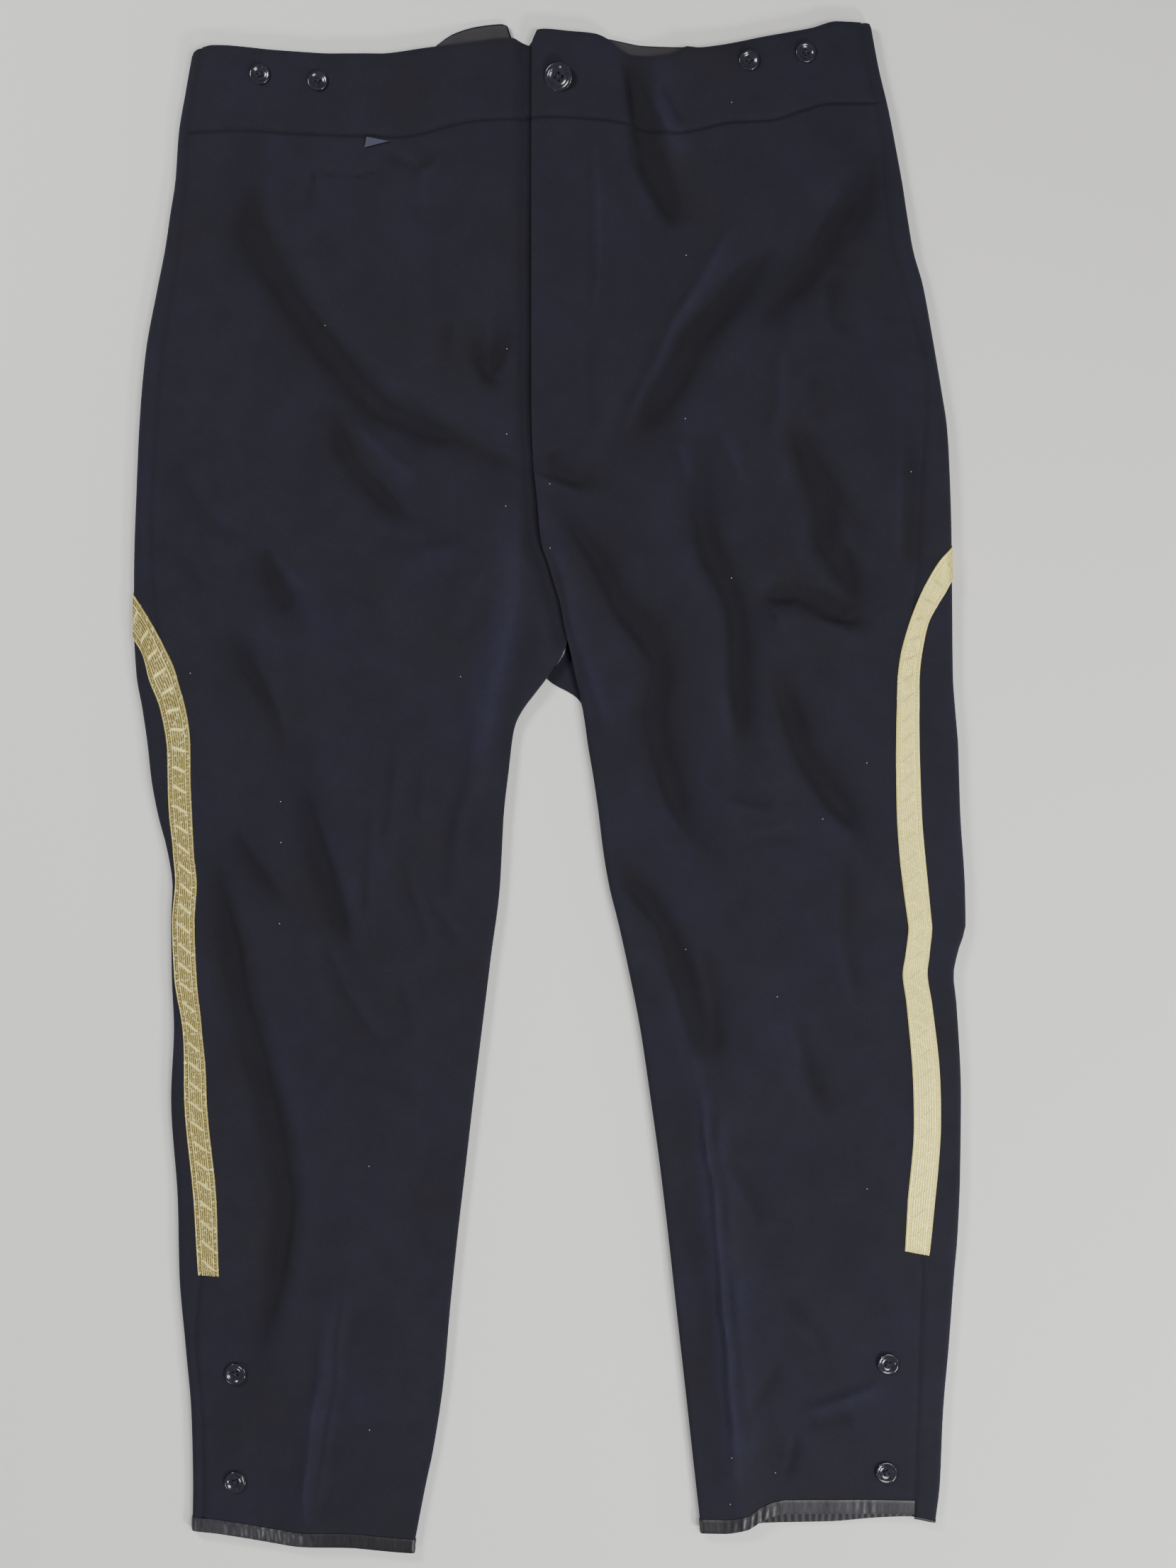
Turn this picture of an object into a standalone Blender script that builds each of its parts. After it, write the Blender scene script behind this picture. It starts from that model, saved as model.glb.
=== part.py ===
"""Navy wool riding trousers with gold side lace, laid flat on their back.

Lengths in the tables are millimetres. A drop is measured down the length from
the highest point of the waist, and x from the middle, positive towards the
wearer's left. The model itself is in metres, +Y towards the waist and +Z up.
"""

import math

import bmesh
import bpy
from mathutils import Matrix, Vector

MM = 0.001

# Whole garment
LENGTH = 1018.5
SEAM_GAP = 0.3
INSEAM_GAP = 0.5

# Cloth walls
WOOL = 1.8
BAND = 2.3
LINING = 0.7
LACE = 0.9
RIBBON = 0.7
POCKETING = 0.8

# Heights of the cloth layers under the fly
LAP_TOP = 5.9
FLY_TOP = 8.6
LOWEST_TOP = 4.6
LAP_WIDTH = 4.0
LAP_SLOPE = 15.0
LAP_END = 425.0
LAP_FADE = 20.0

# Trimmings
RIBBON_WIDTH = 9.4
RIBBON_SET_BACK = 0.4
STAND_WIDTH = 36.0
STAND_TOP_DROP = 19.0
STAND_DROP = 276.0
FLY_END = 281.0
FLY_MARGIN = 6.0

# Height of the upper side of the cloth, down the length: drop, height
HEIGHTS = (
    (0, 9.2),
    (70, 9.4),
    (300, 10.0),
    (450, 9.6),
    (650, 8.8),
    (850, 8.0),
    (1000, 6.8),
)

# Outer fold of each leg: drop, x, and how far in from the fold the side seam is
OUTER_RIGHT = (
    (20, -237.5, 7),
    (48, -242.5, 7),
    (76, -247, 7),
    (105, -249, 8),
    (128, -252.5, 9),
    (152, -256, 10),
    (175, -260.5, 11),
    (222, -269, 12),
    (269, -273, 12),
    (316, -275, 11),
    (363, -276.5, 12),
    (400, -276.7, 16),
    (434, -275, 18),
    (457, -271, 21),
    (481, -267.5, 22),
    (504, -265, 20),
    (528, -260.5, 16),
    (551, -254.5, 11),
    (575, -251, 9),
    (598, -252, 9),
    (635, -251.5, 10),
    (669, -250, 13),
    (716, -252, 17),
    (786, -247.5, 19),
    (833, -246.5, 15),
    (880, -242.5, 7),
    (927, -238.5, 7),
    (974, -237.5, 7),
    (1005, -238, 7),
)
OUTER_LEFT = (
    (0, 213.5, 7),
    (30, 219, 7),
    (60, 226, 7),
    (81, 230, 8),
    (105, 234.5, 11),
    (128, 238, 13),
    (152, 242, 13),
    (175, 248.5, 13),
    (199, 253, 11),
    (222, 257, 8),
    (246, 261, 11),
    (269, 264.5, 15),
    (293, 266, 18),
    (340, 267.5, 22),
    (387, 268, 25),
    (434, 268.5, 29),
    (457, 270, 31),
    (481, 272, 34),
    (528, 273.5, 34),
    (575, 276.5, 33),
    (600, 277, 30),
    (620, 271.5, 27),
    (634, 269, 26),
    (653, 271, 26),
    (716, 274, 23.5),
    (763, 273.5, 24),
    (810, 271.5, 24),
    (833, 269.5, 22),
    (880, 266, 20),
    (927, 262, 17.5),
    (974, 260, 17),
    (998, 257, 14.5),
)

# Inner edge of each front, as drop and x: the centre front, then the inner fold of the leg below the crotch
INNER_FRONT_RIGHT = (
    (10, -8),
    (281, -7.3),
    (320, -4),
    (344, -1.5),
    (372, 6.5),
    (390, 10.8),
    (404, 12.6),
    (411, 12),
    (417, 10.3),
    (427, 4.7),
    (437, -2.4),
    (448, -10.8),
    (457, -17.4),
    (467, -22.6),
    (476, -24.6),
    (495, -26.8),
    (528, -30.5),
    (551, -31.7),
    (575, -33),
    (622, -39),
    (669, -44.8),
    (716, -50.6),
    (763, -56),
    (810, -61.5),
    (857, -66.3),
    (904, -70.5),
    (951, -77.6),
    (974, -82.5),
    (1013, -90),
)
INNER_FRONT_LEFT = (
    (5, -8),
    (16, -11.8),
    (64, -12),
    (250, -12),
    (281, -11.3),
    (301, -10),
    (320, -8),
    (344, -5.8),
    (352, -4),
    (360, -1),
    (373, 2.8),
    (388, 7.3),
    (404, 10.3),
    (424, 15),
    (437, 17.8),
    (450, 20.7),
    (462, 22.8),
    (481, 25.5),
    (504, 29.4),
    (528, 32.8),
    (551, 35.6),
    (575, 39.7),
    (598, 45.4),
    (622, 50.8),
    (669, 60.2),
    (716, 67.2),
    (763, 73.7),
    (810, 79.3),
    (857, 84.5),
    (904, 89.8),
    (951, 95),
    (1001, 100.6),
)

# Inner edge of each back, as drop and x: the centre back seam, then the crotch. Below it follows the front
INNER_BACK_RIGHT = (
    (1, -28),
    (12, -24.5),
    (22, -19.6),
    (200, -17.3),
    (320, -11.3),
    (372, -2.3),
    (400, 7.2),
    (411, 10),
    (417, 9.7),
)
INNER_BACK_LEFT = (
    (8, -9.5),
    (15, -14),
    (22, -18.8),
    (200, -16.5),
    (320, -10.5),
    (372, -1.5),
    (400, 8.1),
    (411, 11.2),
    (417, 11.1),
    (427, 5.6),
    (437, -1.5),
    (440.5, 3),
    (448, 16.5),
    (453, 21),
)

# Top edges, waist seam and hems, across the garment: x, drop
TOP_FRONT_RIGHT = (
    (-238, 20.7),
    (-223, 16),
    (-173, 20.2),
    (-146, 21.6),
    (-113, 21.6),
    (-83, 17.9),
    (-63, 15.5),
    (-48, 13.6),
    (-33, 11.7),
    (-25, 11.3),
    (-18, 14),
    (-8, 17.5),
)
TOP_FRONT_LEFT = (
    (-8, 5.8),
    (-4, 5.2),
    (12, 6.6),
    (30, 8.5),
    (38, 11.7),
    (44, 16.4),
    (49, 20.2),
    (56, 22.6),
    (68, 23.5),
    (78, 22.6),
    (85, 20.7),
    (91, 17),
    (99, 17.8),
    (111, 16.4),
    (143, 10.3),
    (174, 4.7),
    (191, 0.3),
    (213, 1.4),
)
TOP_BACK_RIGHT = (
    (-238, 20.7),
    (-230, 18.3),
    (-218, 19),
    (-173, 23),
    (-113, 24),
    (-85, 20.5),
    (-79, 16.9),
    (-63, 6.1),
    (-46, 1.4),
    (-31, 0),
    (-28, 1.3),
)
TOP_BACK_LEFT = (
    (-9, 8.2),
    (12, 8.8),
    (35, 9.6),
    (49, 12.2),
    (61, 14.6),
    (82, 15.5),
    (91, 15.6),
    (99, 20),
    (143, 12.5),
    (191, 2.6),
    (213, 1.6),
)
WAIST_SEAM_RIGHT = (
    (-246, 74.3),
    (-230, 73),
    (-203, 72),
    (-176, 73.6),
    (-126, 76),
    (-104, 76.6),
    (-86, 74.7),
    (-69, 70),
    (-51, 66),
    (-32, 64.8),
    (8, 64.2),
)
WAIST_SEAM_LEFT = (
    (-20, 64),
    (0, 62.5),
    (28, 64),
    (49, 66.7),
    (82, 74.3),
    (99, 71.4),
    (120, 66.8),
    (147, 65.4),
    (166, 59.7),
    (187, 54.2),
    (225, 54.4),
)
HEM_FRONT_RIGHT = (
    (-238, 1003.5),
    (-223, 1005),
    (-203, 1008),
    (-181, 1012),
    (-166, 1014.2),
    (-133, 1014.8),
    (-108, 1017),
    (-90, 1018.5),
)
HEM_BACK_RIGHT = ((-238, 1003.5), (-181, 1009.5), (-133, 1012), (-90, 1016))
HEM_FRONT_LEFT = (
    (101, 1005),
    (116, 1005.3),
    (131, 1003),
    (141, 997),
    (148, 994),
    (157, 992.2),
    (200, 992),
    (244, 992.4),
)
HEM_BACK_LEFT = (
    (101, 1003.5),
    (131, 1001),
    (145, 999.7),
    (188, 998.8),
    (218, 996.4),
    (240, 995.6),
    (257, 998.8),
)

# Stretches of the cloth's grid: drop at the outer edge, drop at the inner edge, and the rows from there down
STATIONS_RIGHT = (
    (75, 64.5, 17),
    (384, 380, 2),
    (402, 404, 1),
    (411, 417, 2),
    (425, 437, 4),
    (470, 476, 23),
    (984, 995, 1),
)
STATIONS_LEFT = (
    (54.5, 64, 17),
    (384, 380, 2),
    (402, 404, 1),
    (411, 417, 2),
    (425, 437, 2),
    (443, 453, 2),
    (470, 476, 23),
    (974, 983, 1),
)
HEM_STATION_FRONT_RIGHT = (1003.5, 1018.5, 0)
HEM_STATION_BACK_RIGHT = (1003.5, 1016, 0)
HEM_STATION_FRONT_LEFT = (992.5, 1005, 0)
HEM_STATION_BACK_LEFT = (998.5, 1003.5, 0)

# Main folds: height over the cloth (below zero for a trough), half width, and path as x and drop
FOLDS_RIGHT = (
    (-3.2, 12, ((-198, 88), (-198, 140), (-176, 174), (-148, 216), (-117, 255), (-67, 275), (-35, 289))),
    (-2.0, 12, ((-143, 266), (-122, 304), (-95, 328))),
    (2.6, 11, ((-20, 328), (-31, 411), (-41, 458), (-46, 500))),
    (-2.2, 9, ((-47, 208), (-38, 236), (-24, 198))),
    (-1.8, 11, ((-209, 411), (-199, 428), (-190, 452))),
    (-1.8, 11, ((-188, 360), (-171, 393))),
    (-1.8, 11, ((-207, 548), (-186, 577))),
    (-1.8, 11, ((-164, 490), (-152, 570), (-135, 617))),
    (-3.6, 10, ((-224, 561), (-207, 633), (-189, 710), (-174, 780), (-181, 838), (-194, 892))),
    (1.6, 8, ((-140, 848), (-154, 938), (-162, 1003))),
)
FOLDS_LEFT = (
    (-3.0, 10, ((55, 26), (57, 50), (61, 72), (70, 105), (79, 126))),
    (1.8, 10, ((72, 30), (76, 62), (84, 92))),
    (-2.4, 14, ((210, 98), (194, 130), (166, 165), (149, 190))),
    (-3.2, 13, ((143, 155), (99, 201), (70, 250), (46, 284))),
    (-2.6, 13, ((5, 316), (26, 354), (45, 387), (66, 412), (72, 432), (66, 457),
                (71, 486), (90, 533), (106, 551))),
    (-2.2, 11, ((45, 556), (63, 584), (82, 622), (99, 664), (108, 700))),
    (-2.4, 11, ((99, 283), (101, 340), (120, 382), (128, 445), (131, 487))),
    (-3.0, 10, ((162, 274), (182, 323), (181, 348), (205, 383))),
    (-2.4, 10, ((140, 385), (164, 381), (204, 397))),
    (-2.6, 11, ((152, 434), (157, 457), (167, 486), (186, 514), (200, 528), (207, 542))),
    (2.4, 11, ((96, 692), (111, 800), (122, 938), (127, 990))),
    (-1.4, 9, ((168, 690), (181, 716))),
    (-1.6, 8, ((-8, 290), (14, 304), (34, 308))),
)

# Side lace: drop and inset of its outer edge, then of its inner edge. An inset is measured from the outer
# fold, and is below zero once it is round the back
LACE_RIGHT = (
    (405, -2.5, 376, -2.5),
    (410, 0, 380, 0),
    (422, 6, 397, 11),
    (439, 9, 415, 20.5),
    (457, 12.5, 437, 28),
    (478, 13.5, 467, 30),
    (500, 12, 495, 28),
    (528, 8, 525, 24),
    (560, 3.5, 560, 17.5),
    (600, 1.5, 600, 16.5),
    (635, 2.5, 635, 17.5),
    (670, 6.5, 670, 19.5),
    (706, 9, 706, 24),
    (780, 11, 780, 26.5),
    (833, 13, 834, 27),
)
LACE_LEFT = (
    (370, -2.5, 345, -2.5),
    (373, 1.2, 349, 0),
    (380, 5.2, 359, 9),
    (389, 10.8, 370, 16),
    (400, 16.5, 386, 24),
    (413, 19.7, 405, 31),
    (430, 22.4, 425, 36),
    (452, 24, 452, 39),
    (490, 26.6, 492, 42.5),
    (553, 26, 553, 43),
    (601, 23, 603, 38.5),
    (622, 19, 622, 35),
    (653, 17, 653, 34),
    (700, 14.5, 700, 32.5),
    (735, 14, 737, 32),
    (786, 17, 786, 35),
    (820, 18.5, 817, 35),
)

# Buttons: name, x, drop, width across, thickness
BUTTONS = (
    ("brace_button_right_1", -192, 36.2, 13.6, 3.0),
    ("brace_button_right_2", -153.7, 40.4, 13.6, 3.0),
    ("brace_button_left_1", 132.5, 26.8, 13.6, 3.0),
    ("brace_button_left_2", 170, 21.6, 13.6, 3.0),
    ("waist_button", 6.1, 38, 19.0, 4.0),
    ("leg_button_right_1", -208.7, 898.7, 14.4, 3.2),
    ("leg_button_right_2", -208.7, 970.5, 14.4, 3.2),
    ("leg_button_left_1", 224.7, 892, 14.4, 3.2),
    ("leg_button_left_2", 223.7, 964.5, 14.4, 3.2),
)
BUTTON_SIDES = 13
BUTTON_SEAT = 0.42
HOLE_SPACING = 0.17
HOLE_WIDTH = 0.12

# Corner of the watch pocket's lining that peeps out under the band: x, drop
POCKET_CORNER = ((-122.6, 84.8), (-106.6, 80.6), (-121.2, 77.8))

# Inner side of the band's lining: how far it stops short of the fold, the centre back and the edges
LINING_OUTER_INSET = 12.0
LINING_INNER_INSET = 1.2
LINING_EDGE_SHARE = 0.02

# Inner side of the back binding that shows below the shorter front
BACK_RIBBON_OUTER_INSET = 12.0
BACK_RIBBON_INNER_INSET = 6.0

# Columns and rows of the cloth's grid, across each piece
FRONT_FLAT_COLUMNS = 12
TURN_COLUMNS = 3
STRIP_COLUMNS = 1
FOLD_COLUMNS_ROUND = 4
BACK_FLAT_COLUMNS = 3
BAND_ROWS = 3
LINING_COLUMNS = 12
STAND_COLUMNS = 2
STAND_ROWS = 8
LACE_COLUMNS = 4

# How trimmings and turns sit on the cloth
LACE_OFFSET = 0.8
LACE_FOLD_OFFSET = 1.3
LACE_FOLD_REACH = 12
RIBBON_OFFSET = 0.6
TURN_UPRIGHT = 1.2
EDGE_SAMPLE = 5.0
POCKETING_OFFSET = 0.4
BOW_REACH = 120.0
FOLD_END_SHARE = 0.35
FOLD_FADE = 4
NORMAL_STEP = 0.01

COLOURS = {
    "wool": (0.030, 0.029, 0.042, 0.9, 0.0),
    "lining": (0.075, 0.062, 0.060, 0.85, 0.0),
    "lace": (0.55, 0.44, 0.16, 0.42, 0.8),
    "ribbon": (0.085, 0.085, 0.09, 0.45, 0.0),
    "button": (0.015, 0.015, 0.022, 0.25, 0.0),
    "pocketing": (0.16, 0.19, 0.28, 0.8, 0.0),
}


def clear_scene():
    for obj in list(bpy.data.objects):
        bpy.data.objects.remove(obj, do_unlink=True)


def new_collection(name):
    collection = bpy.data.collections.new(name)
    bpy.context.scene.collection.children.link(collection)
    return collection


def make_materials():
    made = {}
    for name, (red, green, blue, roughness, metallic) in COLOURS.items():
        material = bpy.data.materials.new(name)
        material.use_nodes = True
        shader = material.node_tree.nodes["Principled BSDF"]
        shader.inputs["Base Color"].default_value = (red, green, blue, 1)
        shader.inputs["Roughness"].default_value = roughness
        shader.inputs["Metallic"].default_value = metallic
        made[name] = material
    return made


def blend(a, b, t):
    return a + (b - a) * t


def smooth_step(value):
    value = min(max(value, 0.0), 1.0)
    return value * value * (3 - 2 * value)


def place(x, drop, height):
    """A point of the garment in metres."""
    return Vector((x * MM, (LENGTH / 2 - drop) * MM, height * MM))


def curve_through(rows, column):
    """A smooth curve through one column of a table, read at a value of its first column."""
    keys = [row[0] for row in rows]
    values = [row[column] for row in rows]
    slopes = [(values[i + 1] - values[i]) / (keys[i + 1] - keys[i]) for i in range(len(keys) - 1)]
    tangents = [slopes[0]]
    for before, after in zip(slopes, slopes[1:]):
        tangents.append(2 * before * after / (before + after) if before * after > 0 else 0.0)
    tangents.append(slopes[-1])

    def read(key):
        key = min(max(key, keys[0]), keys[-1])
        i = max(j for j in range(len(keys) - 1) if keys[j] <= key)
        span = keys[i + 1] - keys[i]
        t = (key - keys[i]) / span
        return (
            values[i] * (1 + 2 * t) * (1 - t) ** 2
            + values[i + 1] * t * t * (3 - 2 * t)
            + span * t * (1 - t) * (tangents[i] * (1 - t) - tangents[i + 1] * t)
        )

    return read


def continued(table, below):
    """A table of an edge, followed by the rows of another that lie below it."""
    return table + tuple(row for row in below if row[0] > table[-1][0])


def chords_of(curve, start, end, count):
    """The curve as straight chords between evenly spaced points, as a panel's columns cut it."""

    def read(x):
        step = min(max((x - start) / (end - start) * count, 0), count - 1e-9)
        i = int(step)
        at = [curve(blend(start, end, k / count)) for k in (i, i + 1)]
        return blend(at[0], at[1], (x - start) / (end - start) * count - i)

    return read


def level(_):
    """An edge that runs straight between its ends."""
    return 0.0


REST_HEIGHT = curve_through(HEIGHTS, 1)
CENTRE_FRONT = curve_through(INNER_FRONT_LEFT, 1)

LEGS = {
    "right": {
        "inward": 1,
        "outer": curve_through(OUTER_RIGHT, 1),
        "seam_inset": curve_through(OUTER_RIGHT, 2),
        "inner_front": curve_through(INNER_FRONT_RIGHT, 1),
        "inner_back": curve_through(continued(INNER_BACK_RIGHT, INNER_FRONT_RIGHT), 1),
        "top_front": curve_through(TOP_FRONT_RIGHT, 1),
        "top_back": curve_through(TOP_BACK_RIGHT, 1),
        "waist_seam": curve_through(WAIST_SEAM_RIGHT, 1),
        "hem_front": curve_through(HEM_FRONT_RIGHT, 1),
        "hem_back": curve_through(HEM_BACK_RIGHT, 1),
        "front_stations": STATIONS_RIGHT + (HEM_STATION_FRONT_RIGHT,),
        "back_stations": STATIONS_RIGHT + (HEM_STATION_BACK_RIGHT,),
        "folds": FOLDS_RIGHT,
        "front_corners": (20.7, 17.5),
        "back_corners": (20.7, 1.3),
        "front_rolls": (413, 440),
        "back_rises": (440, 462),
        "lace": LACE_RIGHT,
    },
    "left": {
        "inward": -1,
        "outer": curve_through(OUTER_LEFT, 1),
        "seam_inset": curve_through(OUTER_LEFT, 2),
        "inner_front": curve_through(INNER_FRONT_LEFT, 1),
        "inner_back": curve_through(continued(INNER_BACK_LEFT, INNER_FRONT_LEFT), 1),
        "top_front": curve_through(TOP_FRONT_LEFT, 1),
        "top_back": curve_through(TOP_BACK_LEFT, 1),
        "waist_seam": curve_through(WAIST_SEAM_LEFT, 1),
        "hem_front": curve_through(HEM_FRONT_LEFT, 1),
        "hem_back": curve_through(HEM_BACK_LEFT, 1),
        "front_stations": STATIONS_LEFT + (HEM_STATION_FRONT_LEFT,),
        "back_stations": STATIONS_LEFT + (HEM_STATION_BACK_LEFT,),
        "folds": FOLDS_LEFT,
        "front_corners": (1.4, 5.8),
        "back_corners": (1.4, 8.2),
        "front_rolls": (430, 462),
        "back_rises": (462, 478),
        "lace": LACE_LEFT,
    },
}


def distance_to(path, x, drop):
    """How far a point is from a fold's path, and how far along the path its nearest point is, from 0 to 1."""
    lengths = [math.dist(a, b) for a, b in zip(path, path[1:])]
    best = (math.inf, 0.0)
    walked = 0.0
    for (ax, ay), (bx, by), length in zip(path, path[1:], lengths):
        t = ((x - ax) * (bx - ax) + (drop - ay) * (by - ay)) / length**2
        t = min(max(t, 0.0), 1.0)
        away = math.hypot(x - ax - t * (bx - ax), drop - ay - t * (by - ay))
        best = min(best, (away, (walked + t * length) / sum(lengths)))
        walked += length
    return best


def fold_height(folds, x, drop):
    """The height that the folds add: each rises and falls along its path and dies away beside it."""
    total = 0.0
    for height, spread, path in folds:
        away, along = distance_to(path, x, drop)
        fullness = smooth_step(FOLD_FADE * along) * smooth_step(FOLD_FADE * (1 - along))
        total += height * blend(FOLD_END_SHARE, 1, fullness) * math.exp(-((away / spread) ** 2))
    return total


def top_height(leg, x, drop):
    """Height of the upper side of the cloth over the floor."""
    height = REST_HEIGHT(drop) + fold_height(leg["folds"], x, drop)
    from_edge = x - CENTRE_FRONT(drop)
    above_crotch = smooth_step((LAP_END - drop) / LAP_FADE)
    if leg["inward"] > 0:
        lapped = smooth_step((from_edge + LAP_SLOPE) / (LAP_SLOPE - 2)) * above_crotch
        return max(LOWEST_TOP, blend(height, LAP_TOP, lapped))
    over = STAND_WIDTH + 2 * LAP_WIDTH if drop < FLY_END + FLY_MARGIN else 2 * LAP_WIDTH
    least = FLY_TOP if from_edge < over and above_crotch > 0 else LOWEST_TOP
    return max(least, height)


def fold_radius(leg, drop):
    """Half the height of the cloth at the outer fold."""
    return top_height(leg, leg["outer"](drop) + leg["inward"] * EDGE_SAMPLE, drop) / 2


def over_outer_fold(leg, inset, drop):
    """The upper cloth at an inset from the outer fold. Below zero, the inset is round the back."""
    radius = fold_radius(leg, drop)
    outer = leg["outer"](drop)
    if inset >= radius:
        x = outer + leg["inward"] * inset
        return place(x, drop, top_height(leg, x, drop))
    angle = math.asin(1 - inset / radius) if inset > 0 else math.pi / 2 - inset / radius
    x = outer + leg["inward"] * radius * (1 - math.sin(angle))
    return place(x, drop, radius * (1 + math.cos(angle)))


def sag(curve, x, start, end):
    """How far an edge curve lies from the straight line between its ends."""
    t = (x - start) / (end - start)
    return curve(x) - blend(curve(start), curve(end), t)


def station_at(stations, share):
    """The outer and inner drop of a row of the grid, from the hem (0) to the waist (1)."""
    row = (1 - share) * sum(station[2] for station in stations)
    for (outer, inner, rows), (next_outer, next_inner, _) in zip(stations, stations[1:]):
        if row <= rows + 1e-6:
            return blend(outer, next_outer, row / rows), blend(inner, next_inner, row / rows)
        row -= rows
    return stations[-1][:2]


def panel_rows(stations, hem, waist_seam):
    """Rows of a leg panel from hem to waist seam, bowed like the edge that they are near."""
    waist_drop, hem_drop = stations[0][0], stations[-1][0]

    def at(share):
        outer, inner = station_at(stations, share)
        near_hem = smooth_step(1 - (hem_drop - outer) / BOW_REACH)
        near_waist = smooth_step(1 - (outer - waist_drop) / BOW_REACH)
        return {"outer": outer, "inner": inner, "bows": ((hem, near_hem), (waist_seam, near_waist))}

    return at


def band_rows(seam_drops, waist_seam, corners, top):
    """Rows of the waistband from the waist seam to its top edge."""

    def at(share):
        outer = blend(seam_drops[0] - SEAM_GAP, corners[0], share)
        inner = blend(seam_drops[1] - SEAM_GAP, corners[1], share)
        return {"outer": outer, "inner": inner, "bows": ((waist_seam, 1 - share), (top, share))}

    return at


def hem_rows(stations, hem):
    """Rows of a hem binding, from just above the edge of the cloth."""
    outer_hem, inner_hem = stations[-1][:2]

    def at(share):
        above = blend(RIBBON_SET_BACK, RIBBON_WIDTH, share)
        return {"outer": outer_hem - above, "inner": inner_hem - above, "bows": ((hem, 1.0),)}

    return at


def row_drop(row, x, outer_x, inner_x):
    """Drop of a row at x: straight between its ends, plus its bows."""
    t = (x - outer_x) / (inner_x - outer_x)
    drop = blend(row["outer"], row["inner"], t)
    for curve, weight in row["bows"]:
        drop += weight * sag(curve, x, outer_x, inner_x)
    return drop


def quarter_turn(t, half_height):
    """How far in from the inner fold, and how far down or up its turn, the cloth is at t."""
    radius = half_height - TURN_UPRIGHT
    angle = math.pi / 2 * min(t * 1.5, 1.0)
    upright = TURN_UPRIGHT * max(0.0, t * 3 - 2)
    return radius * (1 - math.sin(angle)), radius * (1 - math.cos(angle)) + upright


def front_span(leg, row):
    """Where a row of a front piece starts, where it turns down, and its inner end."""
    start = leg["outer"](row["outer"]) + leg["inward"] * (leg["seam_inset"](row["outer"]) + SEAM_GAP / 2)
    end = leg["inner_front"](row["inner"])
    edge_height = top_height(leg, end - leg["inward"] * EDGE_SAMPLE, row["inner"])
    half_height = (edge_height - INSEAM_GAP) / 2
    turn_start = end - leg["inward"] * (half_height - TURN_UPRIGHT)
    return start, turn_start, end, edge_height, half_height


def front_surface(leg, rows_at, columns, rolls=None):
    """Upper side of a front piece, from the side seam (0) to the inner edge (1)."""
    flat, turn = columns

    def point(across, along):
        row = rows_at(along)
        start, turn_start, end, edge_height, half_height = front_span(leg, row)
        outer_x = leg["outer"](row["outer"])
        step = across * (flat + turn)
        if step <= flat:
            x = blend(start, turn_start, step / flat)
            drop = row_drop(row, x, outer_x, end)
            return place(x, drop, top_height(leg, x, drop))
        t = (step - flat) / turn
        aside, down = quarter_turn(t, half_height)
        roll = smooth_step((row["inner"] - rolls[0]) / (rolls[1] - rolls[0])) if rolls else 0.0
        x = end - leg["inward"] * blend(abs(end - turn_start) * (1 - t), aside, roll)
        drop = row_drop(row, x, outer_x, end)
        return place(x, drop, blend(top_height(leg, x, drop), edge_height - down, roll))

    return point


def back_surface(leg, rows_at, columns, rises=None):
    """Outer side of a back piece: from the side seam over the outer fold, under, and up at the inner fold."""
    strip, fold, flat, turn = columns
    inward = leg["inward"]

    def point(across, along):
        row = rows_at(along)
        outer_x = leg["outer"](row["outer"])
        radius = fold_radius(leg, row["outer"])
        end = leg["inner_back"](row["inner"])
        step = across * sum(columns)
        if step < strip:
            inset = blend(leg["seam_inset"](row["outer"]) - SEAM_GAP / 2, radius, step / strip)
            x = outer_x + inward * inset
            drop = row_drop(row, x, outer_x, end)
            return place(x, drop, top_height(leg, x, drop))
        step -= strip
        if step < fold:
            angle = math.pi * step / fold
            x = outer_x + inward * radius * (1 - math.sin(angle))
            return place(x, row_drop(row, x, outer_x, end), radius * (1 + math.cos(angle)))
        step -= fold
        edge_height = top_height(leg, end - inward * EDGE_SAMPLE, row["inner"])
        half_height = (edge_height - INSEAM_GAP) / 2
        turn_start = end - inward * (half_height - TURN_UPRIGHT) if turn else end
        if step <= flat:
            x = blend(outer_x + inward * radius, turn_start, step / flat)
            return place(x, row_drop(row, x, outer_x, end), 0.0)
        t = (step - flat) / turn
        aside, up = quarter_turn(t, half_height)
        rise = smooth_step((row["inner"] - rises[0]) / (rises[1] - rises[0]))
        x = end - inward * blend(abs(end - turn_start) * (1 - t), aside, rise)
        return place(x, row_drop(row, x, outer_x, end), rise * up)

    return point


def moved_out(leg, point, across, along, distance):
    """The point moved out from the cloth that it lies on."""
    step = NORMAL_STEP
    side = point(min(across + step, 1), along) - point(max(across - step, 0), along)
    up = point(across, min(along + step, 1)) - point(across, max(along - step, 0))
    normal = side.cross(up).normalized() * leg["inward"]
    return point(across, along) + normal * distance * MM


def grid_object(name, columns, rows, point_at, wall, downward, collection, material):
    """A grid shaped by point_at(across, along). A wall above zero lies behind it, one below zero before it."""
    bm = bmesh.new()
    bmesh.ops.create_grid(bm, x_segments=columns, y_segments=rows, size=0.5)
    for vertex in bm.verts:
        vertex.co = point_at(vertex.co.x + 0.5, vertex.co.y + 0.5)
    if downward:
        bmesh.ops.reverse_faces(bm, faces=bm.faces)
    mesh = bpy.data.meshes.new(name)
    bm.to_mesh(mesh)
    bm.free()
    mesh.shade_smooth()
    mesh.materials.append(material)
    obj = bpy.data.objects.new(name, mesh)
    collection.objects.link(obj)
    solidify = obj.modifiers.new("Wall", "SOLIDIFY")
    solidify.thickness = abs(wall) * MM
    solidify.offset = -1 if wall > 0 else 1
    return obj


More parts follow.
